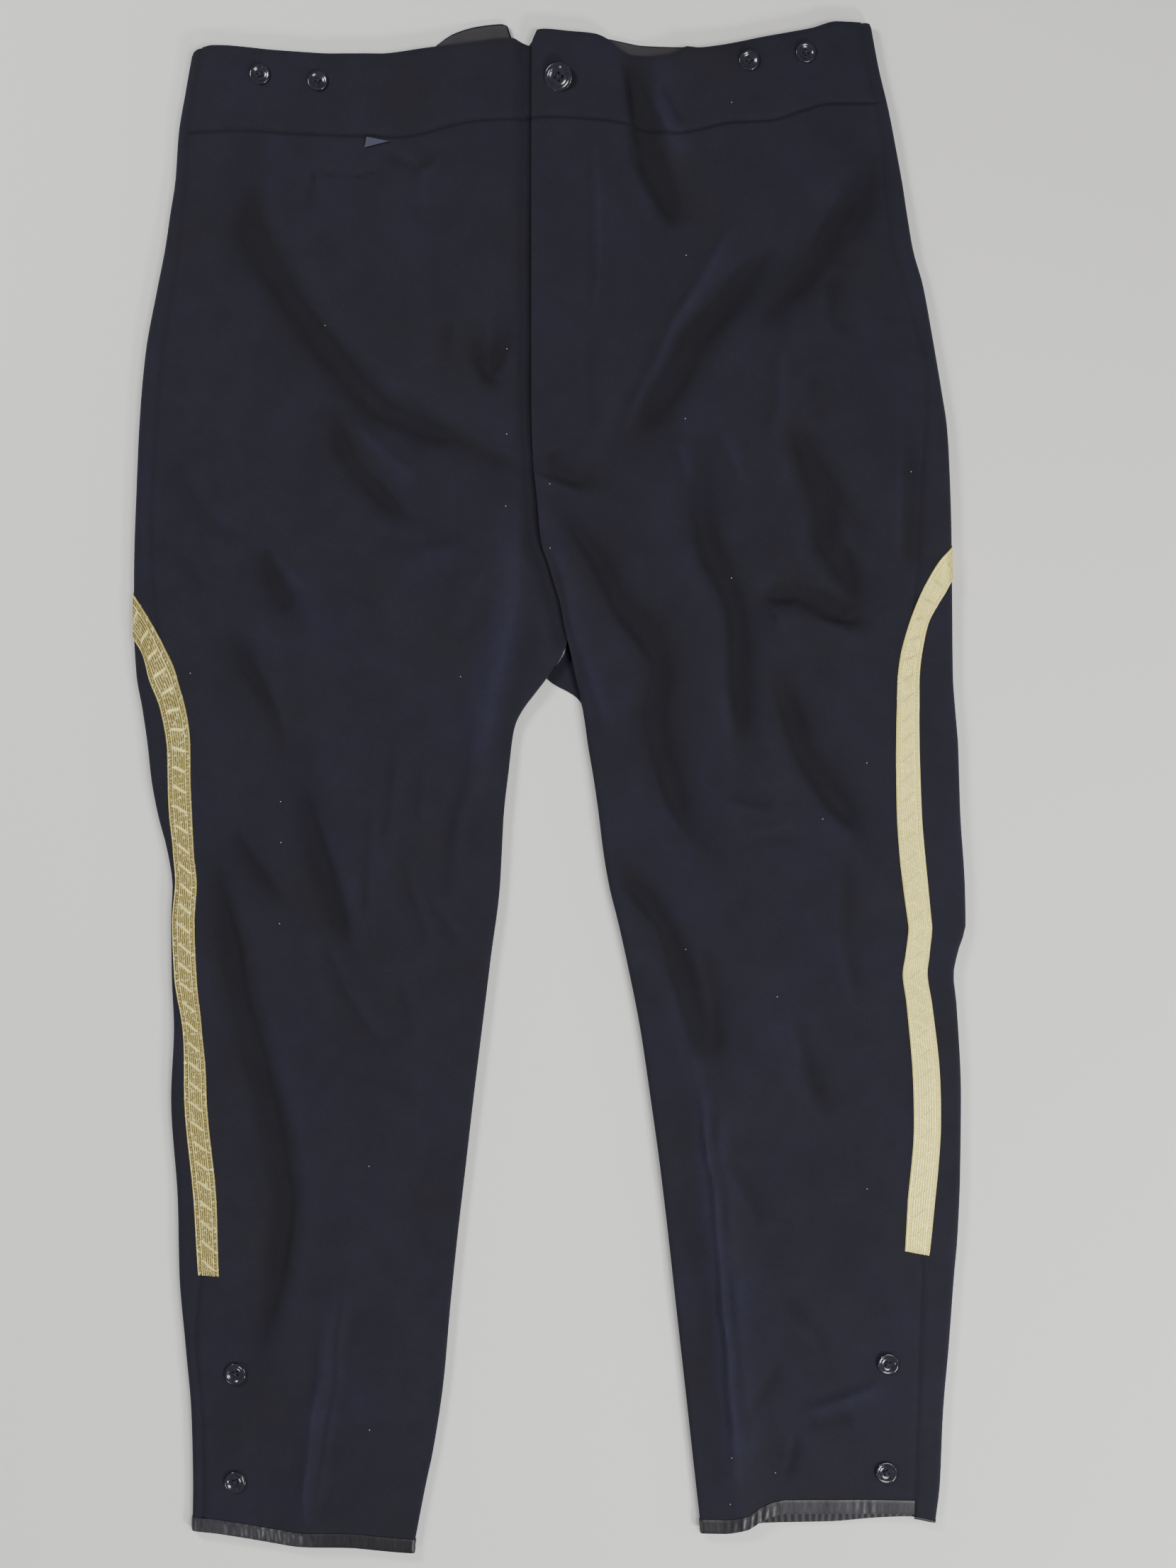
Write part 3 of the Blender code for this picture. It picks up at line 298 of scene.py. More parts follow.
# Finer creases of the upper cloth: height, half width, path as x and drop
creases = {
    "right": (
        # Core of the long diagonal trough
        (-0.9, 5, ((-197, 147), (-186, 168), (-167, 182), (-148, 211), (-134, 236), (-115, 255),
                   (-92, 267), (-68, 276), (-42, 286), (-26, 293))),
        (-0.9, 5, ((-145, 261), (-136, 279), (-127, 298), (-110, 312), (-94, 333))),
        (1.0, 5, ((-129, 267), (-115, 281), (-92, 300))),
        (-1.0, 5, ((-67, 204), (-68, 218))),
        (-1.0, 4, ((-48, 210), (-43, 226), (-36, 236), (-26, 216))),  # hook beside the fly
        (-0.7, 8, ((-249, 293), (-240, 316), (-226, 335), (-202, 345))),  # thigh
        (-0.7, 7, ((-115, 342), (-92, 347), (-59, 345))),
        (-0.7, 6, ((-242, 359), (-233, 373))),
        (-0.9, 6, ((-189, 352), (-186, 370), (-174, 389))),
        (0.7, 5, ((-179, 359), (-167, 375))),
        (-0.9, 6, ((-204, 417), (-195, 434), (-186, 453), (-179, 481))),
        (-0.9, 6, ((-167, 502), (-160, 523), (-155, 542), (-146, 570), (-139, 594), (-132, 619))),  # knee
        (-0.8, 6, ((-153, 608), (-139, 641), (-129, 659), (-113, 681))),
        (-0.7, 5, ((-106, 490), (-107, 523), (-113, 547))),
        (-0.6, 5, ((-120, 523), (-122, 554), (-125, 594))),
        (-0.7, 5, ((-99, 556), (-92, 582), (-85, 612))),
        (-0.6, 5, ((-80, 587), (-66, 608))),
        (-0.6, 5, ((-101, 645), (-94, 669))),
        (-0.6, 5, ((-87, 500), (-89, 528))),
        (-0.8, 7, ((-54, 469), (-59, 504), (-68, 551), (-70, 575))),
        (-0.8, 6, ((-207, 542), (-195, 563), (-181, 582))),
        # Beside the lace
        (-1.1, 5, ((-226, 554), (-216, 587), (-207, 629), (-197, 669), (-188, 728), (-179, 758),
                   (-174, 791), (-179, 824), (-186, 852), (-193, 887))),
        # Pressed crease of the shin
        (-0.9, 3.2, ((-139, 838), (-141, 864), (-143, 887), (-148, 923), (-153, 956), (-157, 993))),
        (0.9, 3, ((-155, 904), (-160, 956), (-164, 998))),
        (-0.6, 4, ((-157, 887), (-160, 911))),
        (0.4, 7, ((-19, 316), (-21, 363), (-26, 410), (-33, 448), (-40, 481))),  # inner leg
        (0.7, 6, ((-45, 370), (-61, 403))),
        (-1.0, 1.7, ((-155, 100), (-132, 102), (-110, 102))),  # watch pocket pressed through the cloth
        (-1.0, 1.7, ((-155, 100), (-157, 110), (-157, 124))),
        (-0.5, 4, ((-87, 100), (-86, 114), (-87, 128))),
        (-0.9, 4, ((-106, 88), (-94, 96), (-85, 102), (-75, 91))),
        (-0.6, 4, ((-14, 295), (-39, 288))),  # end of the fly
    ),
    "left": (
        (-0.9, 5, ((50, 27), (54, 41), (56, 58), (59, 77))),  # bend through the band
        (-0.7, 8, ((61, 95), (78, 126))),
        (0.9, 4, ((71, 53), (78, 70))),
        (-0.7, 4, ((78, 44), (87, 65))),
        # Strongest diagonal and the ridge beside it
        (-1.4, 6, ((146, 152), (129, 166), (115, 185), (101, 201), (90, 218), (85, 236), (70, 260))),
        (1.4, 6, ((122, 138), (106, 161), (89, 189), (75, 218), (63, 243), (45, 283))),
        (-1.1, 6, ((215, 95), (209, 107), (195, 124), (181, 142), (169, 166), (153, 187), (141, 204))),
        (-0.7, 4, ((212, 119), (202, 140))),
        (0.8, 6, ((155, 218), (153, 246), (146, 274))),
        (-0.7, 8, ((188, 175), (190, 199))),
        (-0.6, 8, ((176, 241), (176, 255))),
        (-0.8, 7, ((162, 272), (172, 288), (181, 305), (200, 326), (207, 349))),
        (0.7, 5, ((115, 279), (125, 300))),
        (0.6, 5, ((85, 283), (92, 300))),
        (-0.9, 6, ((101, 314), (103, 354), (110, 363), (122, 394), (122, 434), (127, 490))),  # thigh
        # Crotch
        (-1.0, 5, ((0, 314), (14, 330), (31, 359), (45, 392), (63, 415), (75, 427), (68, 448), (70, 481),
                   (78, 516), (94, 542), (118, 554))),
        (1.0, 6, ((-2, 340), (12, 382), (24, 429), (40, 471))),
        (-0.7, 6, ((157, 446), (160, 467), (169, 495), (186, 518), (207, 540))),
        (-0.7, 5, ((143, 380), (162, 384), (183, 380))),
        (-0.6, 5, ((181, 394), (195, 399), (204, 396))),
        (-0.6, 5, ((195, 354), (200, 375))),
        (-0.6, 5, ((122, 516), (143, 521))),
        (-0.6, 5, ((134, 544), (157, 541))),
        (-0.8, 6, ((49, 563), (61, 584), (78, 610), (89, 645), (99, 683))),  # knee
        (-0.6, 5, ((99, 617), (108, 641), (110, 683))),
        # Pressed crease of the shin
        (-1.0, 3.2, ((101, 681), (106, 716), (108, 751), (115, 786), (118, 822), (122, 857), (125, 916),
                     (128, 951), (129, 974))),
        (0.8, 3, ((95, 681), (100, 716), (102, 751), (110, 786), (112, 822), (116, 857), (119, 916),
                  (122, 951), (124, 974))),
        (-0.7, 5, ((164, 664), (172, 692), (180, 714))),
        (-0.6, 5, ((195, 558), (197, 622), (202, 650))),
        (-0.6, 5, ((120, 758), (134, 782), (139, 796))),
        (-0.6, 5, ((153, 850), (167, 866), (179, 878))),
        (-0.5, 5, ((148, 899), (136, 916))),
        (0.8, 5, ((172, 923), (219, 906))),
        (-0.7, 5, ((176, 931), (195, 927))),
        (-0.5, 4, ((164, 944), (157, 965))),
        (-1.0, 6, ((237, 279), (238, 316), (240, 363))),  # beside the side seam
        (0.9, 3, ((31, 81), (31, 138), (30, 196))),  # fly facing
        (-0.6, 3, ((26, 211), (26, 265))),
        (-0.7, 3, ((-9, 293), (14, 283))),  # puckers at the end of the fly
        (-0.7, 3, ((-9, 300), (21, 309))),
    ),
}

# The back lies under the garment, with low soft creases that the floor flattens
hiddenCreases = (
    (0.8, 9, ((-205, 130), (-160, 175), (-110, 190), (-60, 240))),
    (0.7, 8, ((-190, 300), (-140, 330), (-90, 390), (-60, 420))),
    (0.9, 9, ((-215, 470), (-160, 500), (-110, 490), (-70, 505))),
    (0.7, 8, ((-200, 560), (-150, 575), (-100, 560))),
    (0.7, 9, ((-170, 650), (-165, 780), (-160, 930))),
    (0.8, 9, ((200, 140), (150, 170), (90, 230), (50, 250))),
    (0.7, 8, ((215, 310), (160, 350), (100, 380), (60, 400))),
    (0.9, 9, ((225, 490), (170, 500), (110, 480), (60, 500))),
    (0.7, 8, ((190, 570), (140, 590), (95, 575))),
    (0.7, 9, ((150, 660), (155, 790), (160, 940))),
)

# Walls of the cloth, and how high its layers lie under the fly
layers = {
    "wool": 1.8,
    "band": 2.3,
    "lining": 0.7,
    "ribbon": 0.45,
    "lace": 0.75,
    "pocketing": 0.6,
    "lapTop": 5.9,
    "flyTop": 8.6,
    "lowestTop": 4.5,
    "lapSlope": 15.0,
    "lapWidth": 4.0,
    "lapEnd": 425.0,
    "lapFade": 20.0,
    "standWidth": 36.0,
    "flyEnd": 287.0,
    "seamGap": 0.3,
    "seamSlit": 0.05,  # between two edges that are sewn together
    "inseamGap": 0.5,
    "upright": 1.2,  # straight part of the turn at the inner edges
    "probe": 5.0,  # the cloth's height at an edge is read this far in
    "softness": 0.4,  # how gradually the cloth comes to rest on what lies under it
}

# How the relief of the upper cloth is made up
relief = {
    "creaseDepth": 1.6,  # times the heights in the table
    "creaseLip": 0.3,  # soft ridge along the sharp side, of the crease's height
    "creaseWidth": 0.9,
    "coreDepth": 0.5,  # sharper core in each main fold, of its height
    "coreLip": 0.5,
    "coreWidth": 1.0,
    "wander": (1.8, 70),  # how far creases stray from their paths, and over what length
    "uneven": (0.3, 45),  # the same for their depth
    "slant": 0.3,
    "sharpSide": 0.5,  # widths of a fold's two sides
    "softSide": 1.45,
    "edgeHighlight": (3.0, 1.1),  # painted highlight on a turned edge, and how far in it reaches
    "easedBesideFly": (0.6, 6, 11),  # less painted shade and light beside the fly: share, how far from its edge, how wide
}


def blend(a, b, t):
    return a + (b - a) * t


def smoothStep(value):
    value = np.clip(value, 0.0, 1.0)
    return value * value * (3 - 2 * value)


def curveThrough(rows, column):
    # a smooth curve through one column of a table, read at values of its first column
    keys = np.array([row[0] for row in rows], float)
    values = np.array([row[column] for row in rows], float)
    slopes = np.diff(values) / np.diff(keys)
    before, after = slopes[:-1], slopes[1:]
    turning = before * after <= 0
    inner = np.where(turning, 0.0, 2 * before * after / np.where(turning, 1.0, before + after))
    tangents = np.concatenate((slopes[:1], inner, slopes[-1:]))

    def read(key):
        key = np.clip(key, keys[0], keys[-1])
        i = np.clip(np.searchsorted(keys, key, side="right") - 1, 0, len(keys) - 2)
        span = keys[i + 1] - keys[i]
        t = (key - keys[i]) / span
        ends = values[i] * (1 + 2 * t) * (1 - t) ** 2 + values[i + 1] * t * t * (3 - 2 * t)
        return ends + span * t * (1 - t) * (tangents[i] * (1 - t) - tangents[i + 1] * t)

    return read


def level(key):
    return np.zeros_like(key)


restHeight = curveThrough(restHeights, 1)
for side, leg in legs.items():
    leg["creases"] = creases[side]
    leg["outerEdge"] = curveThrough(leg["outer"], 1)
    leg["seamInset"] = curveThrough(leg["outer"], 2)
    leg["frontEdge"] = curveThrough(leg["innerFront"], 1)
    below = tuple(row for row in leg["innerFront"] if row[0] > leg["innerBack"][-1][0])
    leg["backEdge"] = curveThrough(leg["innerBack"] + below, 1)
    for key in ("topFront", "topBack", "waistSeam", "hemFront", "hemBack"):
        leg[key] = curveThrough(leg[key], 1)
centreFront = legs["left"]["frontEdge"]


def roundedPath(path, runOn):
    # a path that runs on past both ends, with corners cut twice, so that a crease bends like cloth
    points = np.array(path, float)
    for end, beside in ((0, 1), (-1, -2)):
        step = points[end] - points[beside]
        points[end] += step / np.hypot(*step) * runOn
    for _ in range(2):
        quarter = points[:-1] * 0.75 + points[1:] * 0.25
        last = points[:-1] * 0.25 + points[1:] * 0.75
        points = np.concatenate((points[:1], np.stack((quarter, last), 1).reshape(-1, 2), points[-1:]))
    return points


def waves(x, drop, size, seed):
    # even, repeatable unevenness: a few crossed waves about size millimetres long
    total = 0.0
    for i in range(5):
        turn = 2.4 * i + 1.7 * seed
        pitch = 2 * math.pi / size * (0.62 + 0.19 * i)
        total = total + np.sin((x * math.cos(turn) + drop * math.sin(turn)) * pitch + 5.1 * i + 2.3 * seed)
    return total / 3


def foldHeight(folds, x, drop, outwards=0, lip=0.0, widen=0.0, least=0.35):
    # each fold swells and dies away along its path; with outwards given, its inner side is sharp, with a
    # soft lip, and its outer side runs out slowly; a widened fold is rounded and longer too
    x, drop = np.broadcast_arrays(x, drop)
    total = np.zeros(x.shape)
    for height, spread, path in folds:
        points = np.array(path, float)
        if widen:
            points = roundedPath(path, 1.6 * spread)
            spread = spread * widen
        reach = 3.6 * spread
        low, high = points.min(0) - reach, points.max(0) + reach
        near = (x > low[0]) & (x < high[0]) & (drop > low[1]) & (drop < high[1])
        if not near.any():
            continue
        px, pd = x[near], drop[near]
        steps = np.diff(points, axis=0)
        lengths = np.hypot(steps[:, 0], steps[:, 1])
        away = np.full(px.shape, np.inf)
        along, side = np.zeros(px.shape), np.zeros(px.shape)
        walked = 0.0
        for (ax, ay), (bx, by), length in zip(points, steps, lengths):
            t = np.clip(((px - ax) * bx + (pd - ay) * by) / length ** 2, 0, 1)
            distance = np.hypot(px - ax - t * bx, pd - ay - t * by)
            nearer = distance < away
            away = np.where(nearer, distance, away)
            along = np.where(nearer, (walked + t * length) / lengths.sum(), along)
            facing = 1 if by * outwards >= 0 else -1
            side = np.where(nearer, ((px - ax) * by - (pd - ay) * bx) * facing, side)
            walked += length
        fullness = smoothStep(4 * along) * smoothStep(4 * (1 - along))
        width = spread * (np.where(side < 0, relief["sharpSide"], relief["softSide"]) if outwards else 1.0)
        across = np.exp(-((away / width) ** 2))
        across = across - lip * (side < 0) * np.exp(-(((away - 1.3 * spread) / (0.75 * spread)) ** 2))
        total[near] += height * blend(least, 1, fullness) * across
    return total


def topHeight(leg, x, drop):
    # height of the upper side of the cloth over the floor
    x, drop = np.broadcast_arrays(np.asarray(x, float), np.asarray(drop, float))
    height = restHeight(drop) + foldHeight(leg["mainFolds"], x, drop)
    stray, strayLength = relief["wander"]
    wanderX = x + stray * waves(x, drop, strayLength, 1)
    wanderDrop = drop + stray * waves(x, drop, strayLength, 2)
    uneven = 1 + relief["uneven"][0] * waves(x, drop, relief["uneven"][1], 5)
    outwards = -leg["inward"]
    fine = relief["creaseDepth"] * foldHeight(leg["creases"], wanderX, wanderDrop, outwards,
                                              relief["creaseLip"], relief["creaseWidth"], 0.0)
    fine = fine + relief["coreDepth"] * foldHeight(leg["mainFolds"], wanderX, wanderDrop, outwards,
                                                   relief["coreLip"], relief["coreWidth"], 0.0)
    fine = fine * uneven * leg["foldDepth"]
    slanted = x + relief["slant"] * leg["inward"] * drop
    # Low unevenness: slanting, broad and small
    fine = fine + 0.36 * waves(slanted, 0.4 * drop, 58, 3) + 0.24 * waves(x, drop, 95, 6)
    fine = fine + 0.13 * waves(x, 0.6 * drop, 21, 4)
    fromEdge = x - centreFront(drop)
    aboveCrotch = smoothStep((layers["lapEnd"] - drop) / layers["lapFade"])
    if leg["inward"] > 0:
        lapped = smoothStep((fromEdge + layers["lapSlope"]) / (layers["lapSlope"] - 2)) * aboveCrotch
        height = blend(height + fine * (1 - lapped), layers["lapTop"], lapped)
        return softFloor(height, layers["lowestTop"])
    over = np.where(drop < layers["flyEnd"], layers["standWidth"], 0) + 2 * layers["lapWidth"]
    lapping = smoothStep((over + 5 - fromEdge) / 5) * aboveCrotch
    least = blend(layers["lowestTop"], layers["flyTop"] - 0.3, lapping)
    return softFloor(height + fine, least)


def softFloor(height, least):
    # never below least, and rounded where it gets there
    give = layers["softness"]
    return least + give * np.logaddexp(0.0, (height - least) / give)


def foldRadius(leg, drop):
    return topHeight(leg, leg["outerEdge"](drop) + leg["inward"] * layers["probe"], drop) / 2


def place(x, drop, height):
    x, drop, height = np.broadcast_arrays(x, drop, height)
    return np.stack((x, garmentLength / 2 - drop, height), -1)


def sag(curve, x, start, end):
    t = (x - start) / (end - start)
    return curve(x) - blend(curve(start), curve(end), t)


def panelRows(stations, hem, waistSeam):
    rowNumbers = np.cumsum([0] + [station[2] for station in stations[:-1]])
    outerDrops = [station[0] for station in stations]
    innerDrops = [station[1] for station in stations]

    def at(rows):
        # rows count 20 mm steps down from the waist seam
        outer = np.interp(rows, rowNumbers, outerDrops)[:, None]
        inner = np.interp(rows, rowNumbers, innerDrops)[:, None]
        nearHem = smoothStep(1 - (outerDrops[-1] - outer) / 120)
        nearWaist = smoothStep(1 - (outer - outerDrops[0]) / 120)
        return {"outer": outer, "inner": inner, "bows": ((hem, nearHem), (waistSeam, nearWaist))}

    return at


def bandRows(seamDrops, waistSeam, corners, top):
    def at(shares):
        # shares run from the top edge, 0, to the seam, 1
        shares = np.asarray(shares, float)[:, None]
        outer = blend(corners[0], seamDrops[0] - layers["seamSlit"], shares)
        inner = blend(corners[1], seamDrops[1] - layers["seamSlit"], shares)
        return {"outer": outer, "inner": inner, "bows": ((waistSeam, shares), (top, 1 - shares))}

    return at


def hemRows(stations, hem, setBack, width):
    def at(shares):
        # shares run from the upper edge of the binding, 0, to the hem, 1
        above = blend(width, setBack, np.asarray(shares, float)[:, None])
        outer, inner = stations[-1][0] - above, stations[-1][1] - above
        return {"outer": outer, "inner": inner, "bows": ((hem, np.ones_like(above)),)}

    return at


def rowDrop(row, x, outerX, innerX):
    drop = blend(row["outer"], row["inner"], (x - outerX) / (innerX - outerX))
    for curve, weight in row["bows"]:
        drop = drop + weight * sag(curve, x, outerX, innerX)
    return drop


def quarterTurn(t, halfHeight):
    # how far in from the inner fold the cloth is at t, and how far its turn has gone down or up
    radius = halfHeight - layers["upright"]
    angle = math.pi / 2 * np.minimum(t * 1.5, 1.0)
    down = radius * (1 - np.cos(angle)) + layers["upright"] * np.maximum(0.0, t * 3 - 2)
    return radius * (1 - np.sin(angle)), down


def frontPoints(leg, row, flatSteps, turnSteps, rolls=None):
    # upper side of a front piece, from the side seam to the inner edge; steps run from 0 to 1
    inward = leg["inward"]
    outerX = leg["outerEdge"](row["outer"])
    start = outerX + inward * (leg["seamInset"](row["outer"]) + layers["seamSlit"] / 2)
    end = leg["frontEdge"](row["inner"])
    edgeHeight = topHeight(leg, end - inward * layers["probe"], row["inner"])
    halfHeight = (edgeHeight - layers["inseamGap"]) / 2
    turnStart = end - inward * (halfHeight - layers["upright"])
    x = blend(start, turnStart, flatSteps[None, :])
    drop = rowDrop(row, x, outerX, end)
    flatPart = place(x, drop, topHeight(leg, x, drop))
    t = turnSteps[None, 1:]
    aside, down = quarterTurn(t, halfHeight)
    roll = smoothStep((row["inner"] - rolls[0]) / (rolls[1] - rolls[0])) if rolls else np.zeros_like(end)
    x = end - inward * blend(abs(end - turnStart) * (1 - t), aside, roll)
    drop = rowDrop(row, x, outerX, end)
    turned = place(x, drop, blend(topHeight(leg, x, drop), edgeHeight - down, roll))
    return np.concatenate((flatPart, turned), 1)


def backPoints(leg, row, stripSteps, foldSteps, flatSteps, turnSteps, rises=None):
    # outer side of a back piece: over the outer fold, under, and up at the inner fold
    inward = leg["inward"]
    outerX = leg["outerEdge"](row["outer"])
    radius = foldRadius(leg, row["outer"])
    end = leg["backEdge"](row["inner"])
    inset = blend(leg["seamInset"](row["outer"]) - layers["seamSlit"] / 2, radius, stripSteps[None, :])
    x = outerX + inward * inset
    drop = rowDrop(row, x, outerX, end)
    strip = place(x, drop, topHeight(leg, x, drop))
    angle = math.pi * foldSteps[None, 1:]
    x = outerX + inward * radius * (1 - np.sin(angle))
    upper = topHeight(leg, outerX + inward * radius, rowDrop(row, outerX + inward * radius, outerX, end))
    rounded = np.where(angle < math.pi / 2, radius + (upper - radius) * np.cos(angle),
                       radius * (1 + np.cos(angle)))
    fold = place(x, rowDrop(row, x, outerX, end), rounded)
    edgeHeight = topHeight(leg, end - inward * layers["probe"], row["inner"])
    halfHeight = (edgeHeight - layers["inseamGap"]) / 2
    turnStart = end - inward * (halfHeight - layers["upright"]) if rises else end
    x = blend(outerX + inward * radius, turnStart, flatSteps[None, 1:])
    drop = rowDrop(row, x, outerX, end)
    fromEnds = smoothStep(np.minimum(abs(x - outerX) - 12, abs(end - x) - 12) / 10)
    under = place(x, drop, fromEnds * foldHeight(hiddenCreases, x, drop, 0, 0.0, 1.3))
    if not rises:
        return np.concatenate((strip, fold, under), 1)
    t = turnSteps[None, 1:]
    aside, up = quarterTurn(t, halfHeight)
    rise = smoothStep((row["inner"] - rises[0]) / (rises[1] - rises[0]))
    x = end - inward * blend(abs(end - turnStart) * (1 - t), aside, rise)
    turned = place(x, rowDrop(row, x, outerX, end), rise * up)
    return np.concatenate((strip, fold, under, turned), 1)


def overOuterFold(leg, inset, drop):
    # the upper cloth at an inset from the outer fold; below zero, the inset is round the back
    inward = leg["inward"]
    radius = foldRadius(leg, drop)
    outer = leg["outerEdge"](drop)
    tucked = np.where(inset > 0, np.arcsin(np.clip(1 - inset / radius, -1, 1)), math.pi / 2 - inset / radius)
    flat = outer + inward * inset
    upper = topHeight(leg, outer + inward * radius, drop)
    rounded = np.where(inset > 0, radius + (upper - radius) * np.cos(tucked), radius * (1 + np.cos(tucked)))
    x = np.where(inset >= radius, flat, outer + inward * radius * (1 - np.sin(tucked)))
    height = np.where(inset >= radius, topHeight(leg, flat, drop), rounded)
    return place(x, drop, height)


def gridNormals(points, facing):
    across = np.gradient(points, axis=1)
    up = -np.gradient(points, axis=0)
    normals = np.cross(across, up) * facing
    return normals / np.maximum(np.linalg.norm(normals, axis=2, keepdims=True), 1e-9)


def distanceFrom(points, side):
    # distance along the cloth from one side of its grid: first or last column, first or last row
    axis = 1 if side in ("firstColumn", "lastColumn") else 0
    run = np.flip(points, axis) if side.startswith("last") else points
    lengths = np.linalg.norm(np.diff(run, axis=axis), axis=2)
    padding = [(0, 0), (0, 0)]
    padding[axis] = (1, 0)
    distance = np.cumsum(np.pad(lengths, padding), axis=axis)
    return np.flip(distance, axis) if side.startswith("last") else distance


def rollEdges(points, facing, rolls):
    # the cloth goes down into its seams and over its turned edges: side, depth, reach; gives the depth too
    depth = np.zeros(points.shape[:2])
    for side, amount, reach in rolls:
        depth = np.maximum(depth, amount * np.exp(-((distanceFrom(points, side) / reach) ** 2)))
    return points - gridNormals(points, facing) * depth[:, :, None], depth


def applyModifiers(piece):
    bpy.ops.object.select_all(action="DESELECT")
    piece.select_set(True)
    bpy.context.view_layer.objects.active = piece
    for modifier in list(piece.modifiers):
        bpy.ops.object.modifier_apply(modifier=modifier.name)


def paintedLightOf(points, leg, depth, highlightedSides=()):
    # painted shade and light: how far the upper cloth stands over or under its rest height, so troughs are
    # painted darker and ridges paler, turned edges palest as painted highlights, and seams darker by their
    # roll depth
    drop = garmentLength / 2 - points[:, :, 1]
    rest = restHeight(drop)
    upper = smoothStep(points[:, :, 2] / rest * 3 - 0.3)
    share, beside, wide = relief["easedBesideFly"]
    fromFly = points[:, :, 0] - centreFront(drop) + beside
    easedBesideFly = np.exp(-((fromFly / wide) ** 2)) * (drop < layers["lapEnd"])
    wearAndPaintedLight = np.clip(topHeight(leg, points[:, :, 0], drop) - rest, -3.0, 3.0) * upper * (1 - share * easedBesideFly)
    edgeHighlight, reach = relief["edgeHighlight"]
    for side in highlightedSides:
        wearAndPaintedLight = wearAndPaintedLight + edgeHighlight * np.exp(-((distanceFrom(points, side) / reach) ** 2))
    return wearAndPaintedLight - depth


def clothPiece(name, points, facing, wall, material, tone=None, uv=None):
    rows, columns = points.shape[:2]
    index = np.arange(rows * columns).reshape(rows, columns)
    quads = np.stack((index[:-1, :-1], index[1:, :-1], index[1:, 1:], index[:-1, 1:]), -1).reshape(-1, 4)
    if facing < 0:
        quads = quads[:, ::-1]
    mesh = bpy.data.meshes.new(name)
    mesh.from_pydata((points.reshape(-1, 3) * mm).tolist(), [], quads.tolist())
    if uv is None:
        uv = np.stack((distanceFrom(points, "firstColumn"), distanceFrom(points, "firstRow")), -1) * mm
    layer = mesh.uv_layers.new(name="UVMap")
    corners = np.empty(len(mesh.loops), int)
    mesh.loops.foreach_get("vertex_index", corners)
    layer.data.foreach_set("uv", uv.reshape(-1, 2)[corners].ravel())
    shown = mesh.attributes.new("relief", "FLOAT", "POINT")
    shown.data.foreach_set("value", (np.zeros(points.shape[:2]) if tone is None else tone).ravel())
    mesh.materials.append(material)
    piece = bpy.data.objects.new(name, mesh)
    bpy.context.scene.collection.objects.link(piece)
    solidify = piece.modifiers.new("wall", "SOLIDIFY")
    solidify.thickness = wall * mm
    solidify.offset = -1
    applyModifiers(piece)
    mesh = piece.data
    mesh.shade_smooth()
    mesh.set_sharp_from_angle(angle=math.radians(55))
    return piece


def stepsBetween(count, nearStart=(), nearEnd=()):
    # even steps from 0 to 1, with finer ones near an end where the cloth turns
    finer = list(nearStart) + [1 - value for value in nearEnd]
    return np.union1d(np.linspace(0, 1, count + 1), finer)


wavePitch = 0.314  # metres between the bands of a wave texture at scale 1


# Milled melton wool: a felted nap with no gloss, faintly mottled, with a soft bloom where light grazes it
woolLook = {
    "dark": "#17161e",
    "cool": "#201e30",  # painted light: bluer on the ridges, and in random patches of dye
    "warm": "#1f1e24",  # painted shade: duller in the troughs, and in random patches of dye
    "nap": 0.0007,  # tufts of the felted nap; the real ones are nearer 0.3 mm and wouldn't show
    "mottle": 0.018,
    "patchScale": 0.28,  # patches of uneven dye, against the mottle
    "reliefBlue": 0.15,  # painted light: how much bluer for each millimetre of relief
    "reliefSpan": 3.0,  # mm either way
    "trough": 0.62,  # painted shade: share of the colour in the deepest troughs
    "ridge": 1.22,  # painted highlight: share of the colour on the highest ridges
    "roughness": 0.9,
    "bloom": "#8f93ad",
    "lint": 0.03,  # one place for a speck of lint to each square of this width
    "lintSize": 0.012,  # of that width
    "lintShare": 0.06,  # of the places that hold one
    "lintColour": "#8c8a86",
}


